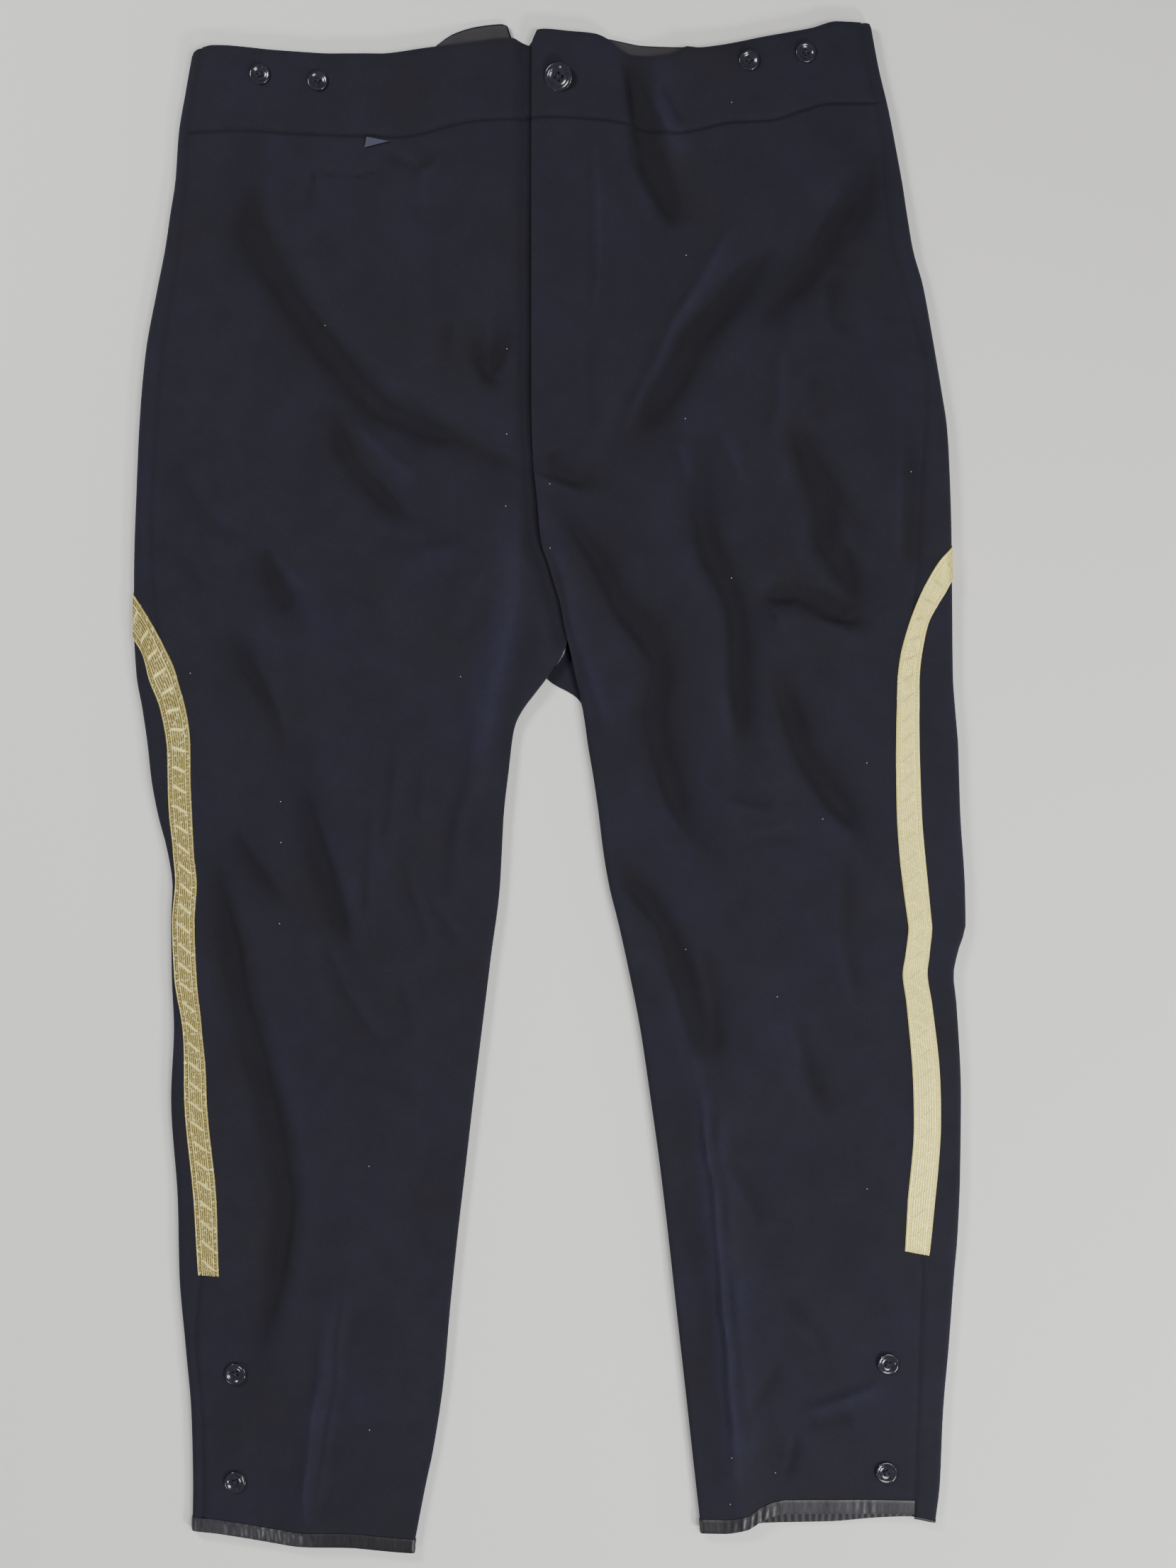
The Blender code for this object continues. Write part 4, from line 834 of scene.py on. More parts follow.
def makeWool(name, look):
    material, shader = startMaterial(name)
    onCloth = {"Vector": addNode(material, "TexCoord", gives="Object")}
    mottle = addNode(material, "TexNoise", {"Scale": 1 / look["mottle"], "Detail": 4, "Roughness": 0.6},
                     onCloth)
    tint = addNode(material, "TexNoise", {"Scale": look["patchScale"] / look["mottle"], "Detail": 2}, onCloth)
    nap = addNode(material, "TexNoise", {"Scale": 1 / look["nap"], "Detail": 3, "Roughness": 0.7}, onCloth)
    relief = addNode(material, "Attribute", {"attribute_name": "relief"}, gives="Fac")
    patches = addNode(material, "MapRange",
                      {"From Min": 0.3, "From Max": 0.7, "To Min": 0.1, "To Max": 0.9}, {"Value": tint})
    # Painted light: bluer on the ridges, added to random patches of dye
    blueness = addNode(material, "Math",
                       {"operation": "MULTIPLY_ADD", 1: look["reliefBlue"], "use_clamp": True},
                       {0: relief, 2: patches})
    tones = addNode(material, "Mix", {"data_type": "RGBA", 6: look["warm"], 7: look["cool"]},
                    {"Factor": blueness}, 2)
    darker = addNode(material, "Mix", {"data_type": "RGBA", 6: look["dark"]}, {"Factor": mottle, 7: tones}, 2)
    tufts = addNode(material, "MapRange",
                    {"From Min": 0.3, "From Max": 0.7, "To Min": 0.82, "To Max": 1.18}, {"Value": nap})
    napped = addNode(material, "VectorMath", {"operation": "MULTIPLY"}, {0: darker, 1: tufts})
    # Painted shade and highlight: darker in the troughs, paler on the ridges
    wearAndPaintedLight = addNode(material, "MapRange",
                   {"From Min": -look["reliefSpan"], "From Max": look["reliefSpan"],
                    "To Min": look["trough"], "To Max": look["ridge"]}, {"Value": relief})
    colour = addNode(material, "VectorMath", {"operation": "MULTIPLY"}, {0: napped, 1: wearAndPaintedLight})
    bump = addNode(material, "Bump", {"Strength": 0.35, "Distance": 0.0003}, {"Height": nap})
    lint = addNode(material, "TexVoronoi", {"voronoi_dimensions": "2D", "Scale": 1 / look["lint"]}, onCloth)
    chance = addNode(material, "SeparateColor", links={"Color": lint.node.outputs["Color"]})
    here = addNode(material, "Math", {"operation": "LESS_THAN", 1: look["lintSize"]}, {0: lint})
    picked = addNode(material, "Math", {"operation": "LESS_THAN", 1: look["lintShare"]}, {0: chance})
    speck = addNode(material, "Math", {"operation": "MULTIPLY"}, {0: here, 1: picked})
    linted = addNode(material, "Mix", {"data_type": "RGBA", 7: look["lintColour"]},
                     {"Factor": speck, 6: colour}, 2)
    setNode(material, shader,
            {"Roughness": look["roughness"], "Specular IOR Level": 0.25, "Sheen Weight": 0.12,
             "Sheen Roughness": 0.45, "Sheen Tint": look["bloom"]}, {"Base Color": linted, "Normal": bump})
    return material


# Cotton twill: fine slanting ribs, worn paler on their tops; the rib is a little over its real 0.6 mm
liningLook = {"ground": "#2a282b", "worn": "#3c393c", "rib": 0.0008, "slant": 38, "wearAndPaintedLight": 90,
              "roughness": 0.8}


def makeTwill(name, look):
    material, shader = startMaterial(name)
    place3d = addNode(material, "TexCoord", gives="Object")
    turned = addNode(material, "Mapping", {"Rotation": (0, 0, math.radians(look["slant"]))},
                     {"Vector": place3d})
    ribs = addNode(material, "TexWave", {"Scale": wavePitch / look["rib"], "Distortion": 0.6, "Detail": 2},
                   {"Vector": turned}, "Fac")
    wearAndPaintedLight = addNode(material, "TexNoise", {"Scale": look["wearAndPaintedLight"], "Detail": 5}, {"Vector": place3d})
    share = addNode(material, "Math", {"operation": "MULTIPLY"}, {0: ribs, 1: wearAndPaintedLight})
    tones = addNode(material, "Mix", {"data_type": "RGBA", 6: look["ground"], 7: look["worn"]},
                    {"Factor": share}, 2)
    bump = addNode(material, "Bump", {"Strength": 0.5, "Distance": 0.0002}, {"Height": ribs})
    setNode(material, shader, {"Roughness": look["roughness"]}, {"Base Color": tones, "Normal": bump})
    return material


# Gold lace: flat metal strip wound on silk, woven in lengthwise cords, with painted highlights on their
# crowns, painted shade between them, and painted glints
laceLook = {"crown": "#f9ec8a", "glint": "#fffbc4", "shade": "#45301a", "strip": 0.0009, "slant": 20,
            "wearAndPaintedLight": 420, "metal": 0.4}


def makeGold(name, look):
    material, shader = startMaterial(name)
    onLace = addNode(material, "UVMap", {"uv_map": "UVMap"})
    slanted = addNode(material, "Mapping", {"Rotation": (0, 0, math.radians(look["slant"]))},
                      {"Vector": onLace})
    strips = addNode(material, "TexWave",
                     {"bands_direction": "Y", "Scale": wavePitch / look["strip"], "Distortion": 1.5,
                      "Detail": 2, "Detail Scale": 2}, {"Vector": slanted}, "Fac")
    wearAndPaintedLight = addNode(material, "TexNoise", {"Scale": look["wearAndPaintedLight"], "Detail": 3}, {"Vector": onLace})
    relief = addNode(material, "Attribute", {"attribute_name": "relief"}, gives="Fac")
    wound = addNode(material, "MapRange", {"To Min": 0.78, "To Max": 1.08}, {"Value": strips})
    # Painted highlight on the cords' crowns and painted shade between them
    height = addNode(material, "Math", {"operation": "MULTIPLY"}, {0: wound, 1: relief})
    woven = addNode(material, "Mix", {"data_type": "RGBA", 6: look["shade"], 7: look["crown"]},
                    {"Factor": height}, 2)
    # Painted glints where the noise is high
    glints = addNode(material, "MapRange", {"From Min": 0.55, "From Max": 0.8}, {"Value": wearAndPaintedLight})
    colour = addNode(material, "Mix", {"data_type": "RGBA", 7: look["glint"]},
                     {"Factor": glints, 6: woven}, 2)
    rough = addNode(material, "MapRange", {"To Min": 0.6, "To Max": 0.36}, {"Value": height})
    bump = addNode(material, "Bump", {"Strength": 0.5, "Distance": 0.0002}, {"Height": strips})
    setNode(material, shader, {"Metallic": look["metal"]},
            {"Base Color": colour, "Roughness": rough, "Normal": bump})
    return material


# Silk satin binding: long floats that shine across the ribbon, with a painted sheen where they shine most
ribbonLook = {"silk": "#151418", "float": "#2f2d32", "pitch": 0.0009, "stretch": 0.12, "roughness": 0.38}


def makeSatin(name, look):
    material, shader = startMaterial(name)
    place3d = addNode(material, "TexCoord", gives="Object")
    stretched = addNode(material, "Mapping", {"Scale": (1, look["stretch"], 1)}, {"Vector": place3d})
    floats = addNode(material, "TexNoise", {"Scale": 1 / look["pitch"], "Detail": 2}, {"Vector": stretched})
    # Painted sheen: how much of the paler float colour shows
    sheenTone = addNode(material, "Attribute", {"attribute_name": "relief"}, gives="Fac")
    paintedSheen = addNode(material, "Math", {"operation": "MULTIPLY"}, {0: floats, 1: sheenTone})
    tones = addNode(material, "Mix", {"data_type": "RGBA", 6: look["silk"], 7: look["float"]},
                    {"Factor": paintedSheen}, 2)
    rough = addNode(material, "MapRange",
                    {"To Min": look["roughness"] - 0.06, "To Max": look["roughness"] + 0.14},
                    {"Value": floats})
    bump = addNode(material, "Bump", {"Strength": 0.2, "Distance": 0.0001}, {"Height": floats})
    setNode(material, shader, {"Specular IOR Level": 0.4},
            {"Base Color": tones, "Roughness": rough, "Normal": bump})
    return material


# Polished horn composition: near black, with cloudy dark streaks and fine handling scratches
hornLook = {"body": "#121218", "streak": "#2c2b36", "cloud": 260, "scratch": 700, "roughness": 0.14}


def makeHorn(name, look):
    material, shader = startMaterial(name)
    place3d = addNode(material, "TexCoord", gives="Object")
    streaks = addNode(material, "TexNoise", {"Scale": look["cloud"], "Detail": 4, "Distortion": 1.2},
                      {"Vector": place3d})
    scratches = addNode(material, "TexNoise", {"Scale": look["scratch"], "Detail": 2}, {"Vector": place3d})
    tones = addNode(material, "Mix", {"data_type": "RGBA", 6: look["body"], 7: look["streak"]},
                    {"Factor": streaks}, 2)
    rough = addNode(material, "MapRange",
                    {"To Min": look["roughness"] - 0.05, "To Max": look["roughness"] + 0.08},
                    {"Value": scratches})
    setNode(material, shader, {"Specular IOR Level": 0.6, "Coat Weight": 0.3, "Coat Roughness": 0.1},
            {"Base Color": tones, "Roughness": rough})
    return material


# Plain cotton pocketing in slate blue, and waxed linen thread: both a plain small weave with a dry finish
def makePlainWeave(name, dark, light, pitch, roughness):
    material, shader = startMaterial(name)
    place3d = addNode(material, "TexCoord", gives="Object")
    weft, warp = (
        addNode(material, "TexWave",
                {"bands_direction": along, "Scale": wavePitch / pitch, "Distortion": 0.8},
                {"Vector": place3d}, "Fac")
        for along in "XY")
    crossing = addNode(material, "Math", {"operation": "MAXIMUM"}, {0: weft, 1: warp})
    tones = addNode(material, "Mix", {"data_type": "RGBA", 6: dark, 7: light}, {"Factor": crossing}, 2)
    bump = addNode(material, "Bump", {"Strength": 0.5, "Distance": 0.0001}, {"Height": crossing})
    setNode(material, shader, {"Roughness": roughness}, {"Base Color": tones, "Normal": bump})
    return material


wool = makeWool("milled_melton_wool", woolLook)
twill = makeTwill("cotton_twill_lining", liningLook)
gold = makeGold("woven_gold_lace", laceLook)
satin = makeSatin("silk_satin_binding", ribbonLook)
horn = makeHorn("polished_dark_horn", hornLook)
slate = makePlainWeave("slate_cotton_pocketing", "#262838", "#3b3e50", 0.0008, 0.85)
thread = makePlainWeave("waxed_linen_thread", "#141418", "#26262e", 0.0004, 0.6)
print("materials are made")


nearSeam = (0.0015, 0.004, 0.007)  # finer steps beside a seam
nearRow = (0.0006, 0.0014, 0.0026)
# Depth and reach of the cloth's roll into its seams and over its edges
sideRoll = ("firstColumn", 0.8, 2.0)
waistRoll = (1.3, 1.4)


def finishPiece(piece, node):
    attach(piece, "root")
    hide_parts(node)
    return piece


def makeLeg(side):
    leg = legs[side]
    inward = leg["inward"]
    frontStations = leg["stations"] + leg["hemStations"][:1]
    backStations = leg["stations"] + leg["hemStations"][1:]
    rowCount = sum(station[2] for station in frontStations)
    rows = rowCount * stepsBetween(8 * rowCount, nearRow, nearRow)
    row = panelRows(frontStations, leg["hemFront"], leg["waistSeam"])(rows)
    points = frontPoints(leg, row, stepsBetween(96, nearSeam), stepsBetween(8), leg["frontRolls"])
    points, depth = rollEdges(points, inward, [sideRoll, ("firstRow", *waistRoll), ("lastRow", 0.3, 1.5)])
    front = clothPiece(f"cloth_front_{side}", points, inward, layers["wool"], wool,
                       paintedLightOf(points, leg, depth))
    finishPiece(front, f"front_{side}")
    rows = rowCount * stepsBetween(3 * rowCount, (0.001,), (0.001,))
    row = panelRows(backStations, leg["hemBack"], level)(rows)
    points = backPoints(leg, row, stepsBetween(6, (0.03, 0.08)), stepsBetween(14), stepsBetween(30),
                        stepsBetween(6), leg["backRises"])
    points, depth = rollEdges(points, -inward, [sideRoll])
    upright = points[:, :, 2] / restHeight(garmentLength / 2 - points[:, :, 1])
    # Painted highlight: paler along the outer fold
    foldHighlight = leg["foldHighlight"] * np.exp(-(((upright - 0.62) / 0.2) ** 2))
    back = clothPiece(f"cloth_back_{side}", points, -inward, layers["wool"], wool,
                      paintedLightOf(points, leg, depth) + foldHighlight)
    finishPiece(back, f"back_{side}")
    return front, back


def makeBand(side):
    leg = legs[side]
    inward = leg["inward"]
    seamDrops = leg["stations"][0][:2]
    shares = stepsBetween(24, (0.01, 0.025), (0.01, 0.025))
    row = bandRows(seamDrops, leg["waistSeam"], leg["frontCorners"], leg["topFront"])(shares)
    points = frontPoints(leg, row, stepsBetween(110, nearSeam, nearSeam), stepsBetween(3))
    rolls = [sideRoll, ("lastRow", *waistRoll), ("firstRow", 0.8, 1.8), ("lastColumn", 0.5, 1.5)]
    points, depth = rollEdges(points, inward, rolls)
    front = clothPiece(f"cloth_waistband_front_{side}", points, inward, layers["band"], wool,
                       paintedLightOf(points, leg, depth, ("firstRow",)))
    finishPiece(front, f"waistband_front_{side}")
    row = bandRows(seamDrops, level, leg["backCorners"], leg["topBack"])(shares)
    points = backPoints(leg, row, stepsBetween(5, (0.05,)), stepsBetween(14), stepsBetween(60), None)
    points, depth = rollEdges(points, -inward, [sideRoll, ("firstRow", 0.5, 1.6)])
    back = clothPiece(f"cloth_waistband_back_{side}", points, -inward, layers["band"], wool,
                      paintedLightOf(points, leg, depth, ("firstRow",)))
    finishPiece(back, f"waistband_back_{side}")
    lining = makeBandLining(leg, side, seamDrops)
    return front, back, lining


def makeBandLining(leg, side, seamDrops):
    # lining on the inner side of the back band, which shows over the front band
    inward = leg["inward"]
    fromFold, fromEdge = 12.0, 1.2
    shares = blend(0.02, 0.98, stepsBetween(24, (0.01, 0.025)))
    row = bandRows(seamDrops, level, leg["backCorners"], leg["topBack"])(shares)
    outerX = leg["outerEdge"](row["outer"])
    end = leg["backEdge"](row["inner"])
    x = blend(outerX + inward * fromFold, end - inward * fromEdge, stepsBetween(110)[None, :])
    drop = rowDrop(row, x, outerX, end)
    height = layers["band"] + layers["seamGap"] + layers["lining"] + 0.12 * waves(x, drop, 16, 7)
    points = rollEdges(place(x, drop, height), inward, [("firstRow", 0.4, 1.4)])[0]
    lining = clothPiece(f"band_lining_{side}", points, inward, layers["lining"], twill)
    return finishPiece(lining, f"waistband_lining_{side}")


def makeButtonStand():
    # the strip under the fly that the wearer's right front ends in
    top, bottom = 19.0, 276.0
    drop = blend(top, bottom, stepsBetween(100))[:, None]
    start = legs["right"]["frontEdge"](drop) + layers["seamGap"]
    x = start + layers["standWidth"] * stepsBetween(16)[None, :]
    points = place(x, drop, layers["lapTop"] + 0.1 * waves(x, drop, 30, 9))
    stand = clothPiece("cloth_button_stand", points, 1, layers["wool"], wool)
    return finishPiece(stand, "fly_button_stand")


laceWeave = {
    "samples": 1500,  # of its edges, to measure its length
    "cords": 11,
    "stepsToCord": 4,
    "rowLength": 0.6,  # mm
    "zigzag": 13.2,  # mm from one turn to the next on the same side
    "zigzagReach": 0.25,  # of the width, either side of the middle
    "strokeWidth": 0.075,  # of the width
    "cordHeight": 0.42,  # mm
    "strokeHeight": 0.34,
    "gullyDots": 2.3,  # mm from dot to dot beside the edge cords
    "strokeDots": 1.25,  # mm, on the rising strokes
    "lift": 0.15,  # mm over the cloth
    "turnedEnd": 1.3,  # mm
    "selvedge": 0.35,  # of a cord
    "sink": 0.3,  # mm, how far ends and selvedges go down
    # Painted shade and light: darkness of the strokes, tone between the cords and what their crowns add; the
    # right one is painted darker
    "paintedShade": {"right": (0.78, 0.0, 0.57), "left": (0.34, 0.58, 0.8)},
}


def makeLace(side):
    # starts round the back of the outer fold, crosses it, and ends square above the hem
    leg = legs[side]
    inward = leg["inward"]
    table = leg["lace"]
    numbered = [(i, *row) for i, row in enumerate(table)]
    edges = [curveThrough(numbered, k + 1) for k in range(4)]
    along = np.linspace(0, len(table) - 1, laceWeave["samples"])
    middleInset = (edges[1](along) + edges[3](along)) / 2
    middleDrop = (edges[0](along) + edges[2](along)) / 2
    middle = overOuterFold(leg, middleInset, middleDrop)
    walked = np.concatenate(([0], np.cumsum(np.linalg.norm(np.diff(middle, axis=0), axis=1))))
    distances = np.linspace(0, walked[-1], int(walked[-1] / laceWeave["rowLength"]))
    along = np.interp(distances, walked, along)[:, None]
    cords = laceWeave["cords"]
    across = np.linspace(0, 1, cords * laceWeave["stepsToCord"] + 1)[None, :]
    inset = blend(edges[1](along), edges[3](along), across)
    drop = blend(edges[0](along), edges[2](along), across)
    onCloth = overOuterFold(leg, inset, drop)
    normals = gridNormals(onCloth, inward)
    width = np.linalg.norm(np.diff(onCloth, axis=1), axis=2).sum(1).mean()
    run = distances[:, None] + 0 * across
    crowns = np.sin(math.pi * (across * cords + 0.06 * waves(run, 0 * run, 9, 17))) ** 2
    # The outer two cords are thick, with a dotted gully between them
    fromEdge = np.minimum(across, 1 - across) * cords
    gully = (fromEdge > 1) & (fromEdge < 2)
    dotted = np.sin(2 * math.pi * run / laceWeave["gullyDots"]) > 0
    crowns = np.where(gully, crowns * (0.3 + 0.6 * dotted), crowns)
    turn = 2 * abs(2 * ((run / laceWeave["zigzag"]) % 1) - 1) - 1
    falling = np.gradient(turn, axis=0) * inward < 0
    aside = (across - 0.5 - laceWeave["zigzagReach"] * turn) / laceWeave["strokeWidth"]
    stroke = np.exp(-(aside ** 4))
    dots = 0.5 + 0.5 * np.sin(2 * math.pi * run / laceWeave["strokeDots"])
    stroke = np.where(falling, stroke, stroke * (0.45 + 0.55 * dots))
    weave = laceWeave["cordHeight"] * crowns * (1 - stroke) + laceWeave["strokeHeight"] * stroke
    fromEnds = np.minimum(distances, walked[-1] - distances)[:, None]
    turned = np.exp(-((fromEnds / laceWeave["turnedEnd"]) ** 2))
    selvedge = np.exp(-((fromEdge / laceWeave["selvedge"]) ** 2))
    sink = laceWeave["sink"]
    height = laceWeave["lift"] + layers["lace"] - sink + weave - sink * turned - sink * selvedge
    top = onCloth + normals * height[:, :, None]
    # Painted shade and light: lighter crowns, and darker gaps, falling strokes and turned ends
    darkness, between, gain = laceWeave["paintedShade"][side]
    tone = between + gain * crowns
    tone = np.where((fromEdge < 1) | ((fromEdge > 2) & (fromEdge < 3)), 1.2 * tone + 0.1, tone)
    tone = blend(tone, np.where(falling, 1 - darkness, 1.0), stroke)
    tone = tone * (1 - 0.35 * turned)
    uv = np.stack((across * width + 0 * run, run), -1) * mm
    lace = clothPiece(f"gold_lace_{side}", top, inward, layers["lace"] - 0.35, gold, tone, uv)
    return finishPiece(lace, f"side_lace_{side}")


binding = {
    "width": 9.4,
    "overFold": {"right": 9.4, "left": 1.6},  # on the wearer's left only its edge comes over
    "edges": [("firstRow", 0.3, 0.9), ("lastRow", 0.35, 1.2)],  # how they roll down
    # painted sheen on the strip over the fold
    "overFoldSheen": {"right": 1.2, "left": 0.0},
    "pucker": {"right": (0.12, (1.0, -187, 28)),  # least, then how much more, where and how wide
               "left": (0.1, (1.0, 141, 17), (0.6, 210, 6))},
    # Painted sheen: tone, its change, where and how wide
    "paintedSheen": {"right": (1.5, -1.2, -175, 30), "left": (0.6, 1.1, 140, 20)},
}


def makeHemRibbon(side):
    leg = legs[side]
    inward = leg["inward"]
    stations = leg["stations"] + leg["hemStations"][:1]
    row = hemRows(stations, leg["hemFront"], 0.1, binding["width"])(stepsBetween(16))
    onCloth = frontPoints(leg, row, stepsBetween(260), stepsBetween(8), leg["frontRolls"])
    distance = distanceFrom(onCloth, "firstColumn")
    down = distanceFrom(onCloth, "firstRow")
    shares = down / down.max()
    x = onCloth[:, :, 0]
    strength, *gathers = binding["pucker"][side]
    for more, where, wide in gathers:
        strength = strength + more * np.exp(-(((x - where) / wide) ** 2))
    # Painted sheen along the ribbon
    tone, change, where, wide = binding["paintedSheen"][side]
    paintedSheen = tone + change * smoothStep((x - where) / wide)
    pucker = np.clip(waves(distance, 0.2 * down, 5.5, 12), -0.7, 1.2)
    lift = 0.35 + 0.5 * strength * pucker * (0.4 + 0.6 * np.sin(math.pi * shares))
    top = onCloth + gridNormals(onCloth, inward) * (lift + layers["ribbon"])[:, :, None]
    top = rollEdges(top, inward, binding["edges"])[0]
    ribbon = clothPiece(f"satin_hem_{side}", top, inward, layers["ribbon"], satin, paintedSheen)
    return finishPiece(ribbon, f"hem_ribbon_{side}")


def makeHemStrip(side):
    # the same binding goes on over the outer fold, on the back piece
    leg = legs[side]
    inward = leg["inward"]
    stations = leg["stations"] + leg["hemStations"][1:]
    row = hemRows(stations, leg["hemBack"], 0.1, binding["overFold"][side])(stepsBetween(12))
    onCloth = backPoints(leg, row, stepsBetween(12), 0.75 * stepsBetween(16), np.array((0.0, 0.03)),
                         stepsBetween(2))
    top = onCloth + gridNormals(onCloth, -inward) * (0.2 + layers["ribbon"])
    top = rollEdges(top[:, :-1], -inward, binding["edges"])[0]
    strip = clothPiece(f"satin_hem_strip_{side}", top, -inward, layers["ribbon"], satin,
                       np.full(top.shape[:2], binding["overFoldSheen"][side]))
    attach(strip, "root")
    return strip


def makeBackHemRibbon():
    # inner side of the left leg's back binding, which shows below the shorter front
    leg = legs["left"]
    stations = leg["stations"] + leg["hemStations"][1:]
    row = hemRows(stations, leg["hemBack"], 0.4, binding["width"])(stepsBetween(12))
    outerX = leg["outerEdge"](row["outer"])
    end = leg["backEdge"](row["inner"])
    x = blend(outerX - 12.0, end + 6.0, stepsBetween(160)[None, :])
    drop = rowDrop(row, x, outerX, end)
    rippled = np.sin(x * 2 * math.pi / 4.5 + waves(x, drop, 30, 14))
    height = layers["wool"] + layers["seamGap"] + 0.7 + 0.1 * rippled
    # Painted sheen, uneven at random
    backSheen = 0.7 + 0.2 * waves(x, drop, 30, 16)
    ribbon = clothPiece("satin_hem_left_back", place(x, drop, height), -1, layers["ribbon"], satin, backSheen)
    return finishPiece(ribbon, "hem_ribbon_left_back")


def makePocketCorner():
    # a corner of the watch pocket's lining that peeps out under the band
    leg = legs["right"]
    corners = np.array(((-122.6, 84.8), (-106.6, 80.6), (-121.2, 77.8)))
    u = np.linspace(0, 1, 13)[:, None]
    v = np.linspace(0.02, 1, 13)[None, :]
    x = corners[0][0] * (1 - v) + v * blend(corners[1][0], corners[2][0], u)
    drop = corners[0][1] * (1 - v) + v * blend(corners[1][1], corners[2][1], u)
    points = place(x, drop, topHeight(leg, x, drop) + 0.75 + 0.1 * waves(x, drop, 7, 15))
    corner = clothPiece("pocket_lining_corner", points, 1, layers["pocketing"], slate)
    bm = bmesh.new()
    bm.from_mesh(corner.data)
    bmesh.ops.recalc_face_normals(bm, faces=bm.faces)
    bm.to_mesh(corner.data)
    bm.free()
    return finishPiece(corner, "watch_pocket_corner")


buttonStyle = {
    "rim": 0.12,  # of the width
    "dish": ((0.08, 0.24), (0.07, 0.07), (0.08, 0.03)),  # steps in, of the width, and down, of the thickness
    "holeSpacing": 0.125,
    "holeWidth": 0.1,
    "edge": 0.75,  # mm, rounding
    "threadWidth": 0.5,  # mm
}
buttons = (  # name, x, drop, width, thickness, tilt about x and y in degrees
    ("brace_button_right_1", -192, 36.2, 13.6, 3.0, 2, 3),
    ("brace_button_right_2", -153.7, 40.4, 13.6, 3.0, -3, 2),
    ("brace_button_left_1", 132.5, 26.8, 13.6, 3.0, 3, -2),
    ("brace_button_left_2", 170, 21.6, 13.6, 3.0, 2, 3),
    ("waist_button", 6.1, 38, 19.0, 4.0, 13, -9),
    ("leg_button_right_1", -208.7, 898.7, 14.4, 3.2, -2, -3),
    ("leg_button_right_2", -208.7, 970.5, 14.4, 3.2, 2, -2),
    ("leg_button_left_1", 224.7, 892, 14.4, 3.2, 3, 2),
    ("leg_button_left_2", 223.7, 964.5, 14.4, 3.2, -2, 2),
)


def selectFaces(piece, wanted):
    # in edit mode: select the faces whose middle and normal pass the test
    bm = bmesh.from_edit_mesh(piece.data)
    for face in bm.faces:
        face.select_set(False)
    for face in bm.faces:
        if wanted(face.calc_center_median(), face.normal):
            face.select_set(True)
    bm.select_flush_mode()
    bmesh.update_edit_mesh(piece.data)


def makeButtonMesh(width, thickness):
    # turned like the real one: a disc, a raised rim, a dished middle and four drilled holes
    style = buttonStyle
    bpy.ops.object.select_all(action="DESELECT")
    bpy.ops.mesh.primitive_cylinder_add(vertices=56, radius=width / 2 * mm, depth=thickness * mm,
                                        location=(0, 0, thickness / 2 * mm))
    blank = bpy.context.object
    bpy.ops.object.mode_set(mode="EDIT")
    selectFaces(blank, lambda middle, normal: normal.z > 0.9)
    bpy.ops.mesh.inset(thickness=style["rim"] * width * mm)
    for aside, down in style["dish"]:
        bpy.ops.mesh.inset(thickness=aside * width * mm, depth=-down * thickness * mm)
    selectFaces(blank, lambda middle, normal: normal.z < -0.9)
    bpy.ops.transform.resize(value=(0.8, 0.8, 1))
    bpy.ops.object.mode_set(mode="OBJECT")
    bevel = blank.modifiers.new("rounded", "BEVEL")
    bevel.width = style["edge"] * mm
    bevel.segments = 5
    bevel.limit_method = "ANGLE"
    bevel.angle_limit = math.radians(20)
    applyModifiers(blank)
    drills = []
    reach = style["holeSpacing"] * width * mm
    hole = style["holeWidth"] * width / 2 * mm
    for i in range(4):
        turn = math.pi / 4 + i * math.pi / 2
        bpy.ops.object.select_all(action="DESELECT")
        bpy.ops.mesh.primitive_cylinder_add(vertices=20, radius=hole, depth=0.02,
                                            location=(reach * math.cos(turn), reach * math.sin(turn), 0))
        drill = bpy.context.object
        drilling = blank.modifiers.new("hole", "BOOLEAN")
        drilling.operation = "DIFFERENCE"
        drilling.object = drill
        drills.append(drill)
    applyModifiers(blank)
    for drill in drills:
        bpy.data.objects.remove(drill)
    mesh = blank.data.copy()
    bpy.data.objects.remove(blank)
    mesh.shade_smooth()
    mesh.set_sharp_from_angle(angle=math.radians(32))
    return mesh


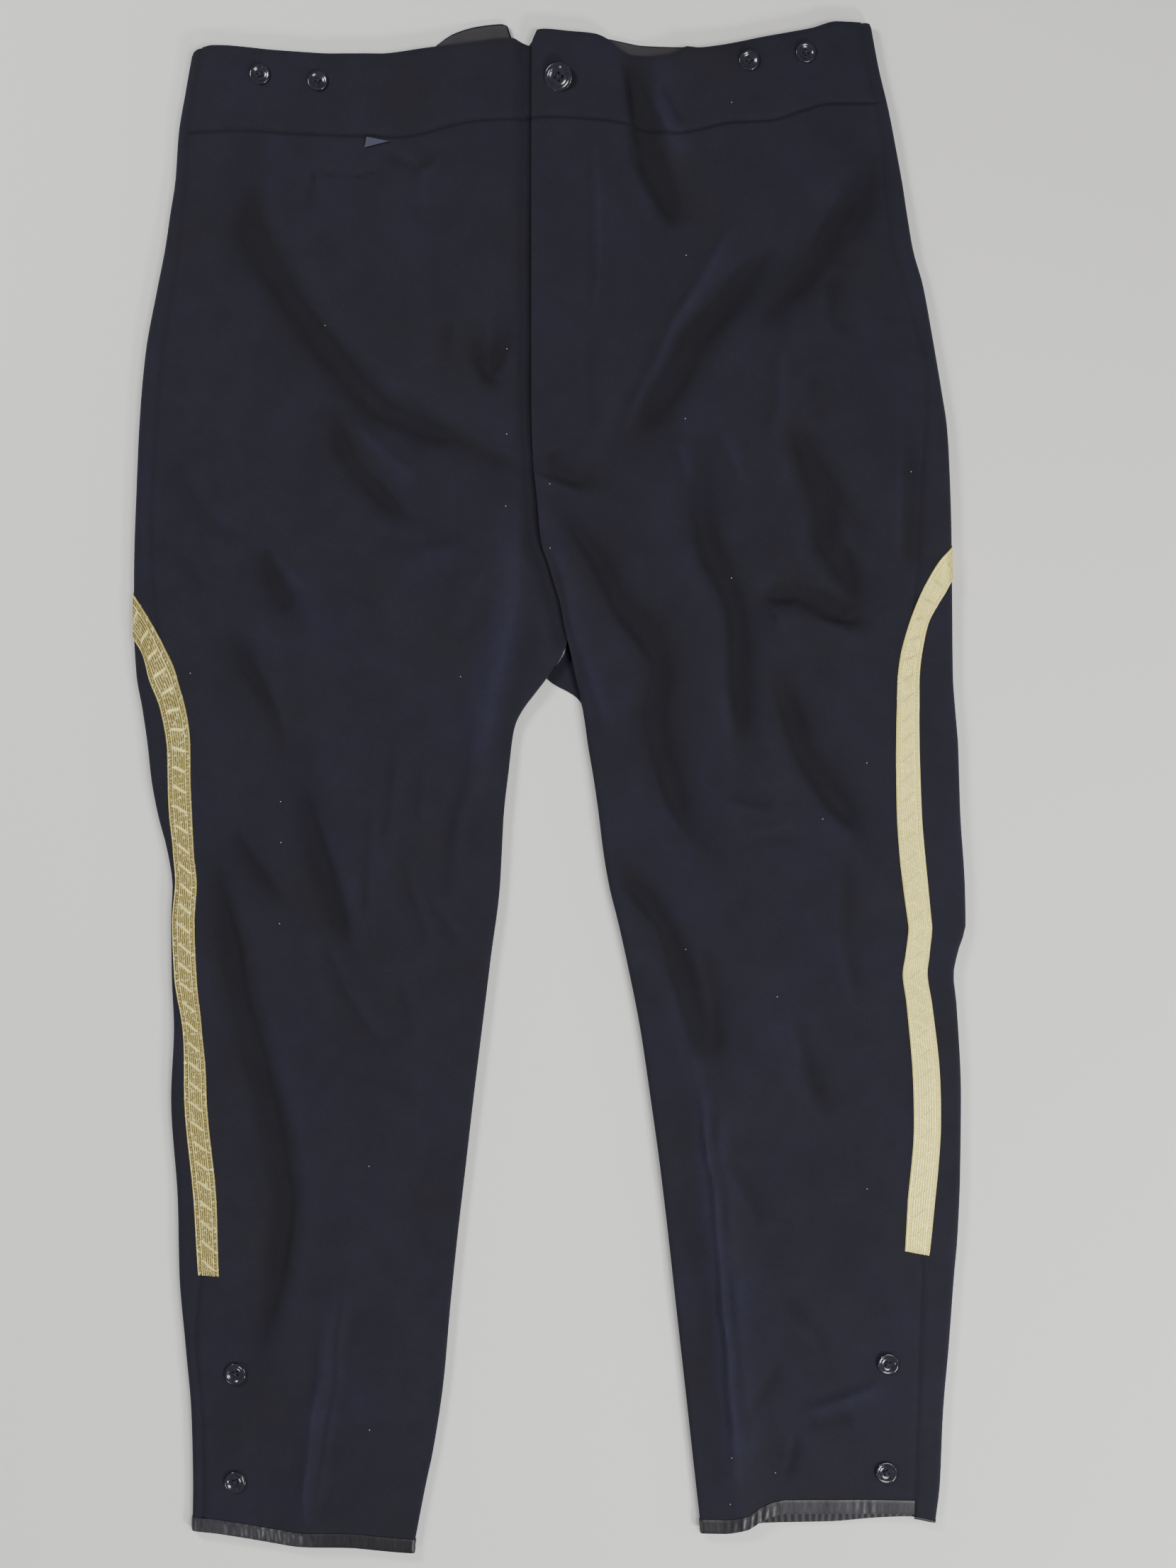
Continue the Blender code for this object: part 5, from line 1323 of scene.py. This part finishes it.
def makeThreadMesh(width, thickness):
    # two stitches that cross in the dish and go down through the holes
    style = buttonStyle
    reach = style["holeSpacing"] * width * mm
    floorHeight = thickness * (1 - sum(step[1] for step in style["dish"])) * mm
    made = []
    for turn in (math.pi / 4, 3 * math.pi / 4):
        curve = bpy.data.curves.new("stitch", "CURVE")
        curve.dimensions = "3D"
        curve.bevel_depth = style["threadWidth"] / 2 * mm
        curve.bevel_resolution = 2
        curve.resolution_u = 4
        spline = curve.splines.new("NURBS")
        run = ((-1, -1.0), (-1, 0.15), (-0.75, 0.5), (0, 0.75), (0.75, 0.5), (1, 0.15), (1, -1.0))
        spline.points.add(len(run) - 1)
        for point, (share, lift) in zip(spline.points, run):
            rise = lift * style["threadWidth"] * mm * (1.2 if turn > 1 else 0.9)
            aside = share * reach
            point.co = (aside * math.cos(turn), aside * math.sin(turn), floorHeight + rise, 1)
        spline.use_endpoint_u = True
        made.append(bpy.data.objects.new("stitch", curve))
        bpy.context.scene.collection.objects.link(made[-1])
    bm = bmesh.new()
    for stitch in made:
        evaluated = stitch.evaluated_get(bpy.context.evaluated_depsgraph_get())
        bm.from_mesh(evaluated.to_mesh())
        evaluated.to_mesh_clear()
        bpy.data.objects.remove(stitch)
    mesh = bpy.data.meshes.new("cross_stitch")
    bm.to_mesh(mesh)
    bm.free()
    mesh.shade_smooth()
    return mesh


def makeButtons():
    meshes = {}
    for name, x, drop, width, thickness, tiltX, tiltY in buttons:
        if (width, thickness) not in meshes:
            meshes[width, thickness] = (makeButtonMesh(width, thickness), makeThreadMesh(width, thickness))
        leg = legs["left" if x > float(centreFront(drop)) else "right"]
        turns = np.linspace(0, 2 * math.pi, 13)[:-1]
        around = topHeight(leg, x + 0.42 * width * np.cos(turns), drop + 0.42 * width * np.sin(turns))
        raised = 0.4 * width * math.sin(math.radians(math.hypot(tiltX, tiltY)))
        seat = Vector((x, garmentLength / 2 - drop, float(around.max()) + 0.1 + 0.35 * raised)) * mm
        tilt = Matrix.Rotation(math.radians(tiltX), 4, "X") @ Matrix.Rotation(math.radians(tiltY), 4, "Y")
        spin = Matrix.Rotation(0.35 * len(name) + x, 4, "Z")
        for mesh, finish, ending in zip(meshes[width, thickness], (horn, thread), ("_turned", "_thread")):
            pieceName = name + ending
            own = mesh.copy()
            own.name = pieceName
            own.transform(Matrix.Translation(seat) @ tilt @ spin)
            own.materials.clear()
            own.materials.append(finish)
            piece = bpy.data.objects.new(pieceName, own)
            bpy.context.scene.collection.objects.link(piece)
            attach(piece, "root")
            if finish == horn:
                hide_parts(name)


for side in ("right", "left"):
    front, back = makeLeg(side)
    bandFront, bandBack, lining = makeBand(side)
    lace = makeLace(side)
    hem, strip = makeHemRibbon(side), makeHemStrip(side)
    print("dressed the wearer's", side, "side")
stand = makeButtonStand()
backHem = makeBackHemRibbon()
pocketCorner = makePocketCorner()
print("dressed the fly, the back hem and the pocket corner")
makeButtons()
print("buttons are sewn on")
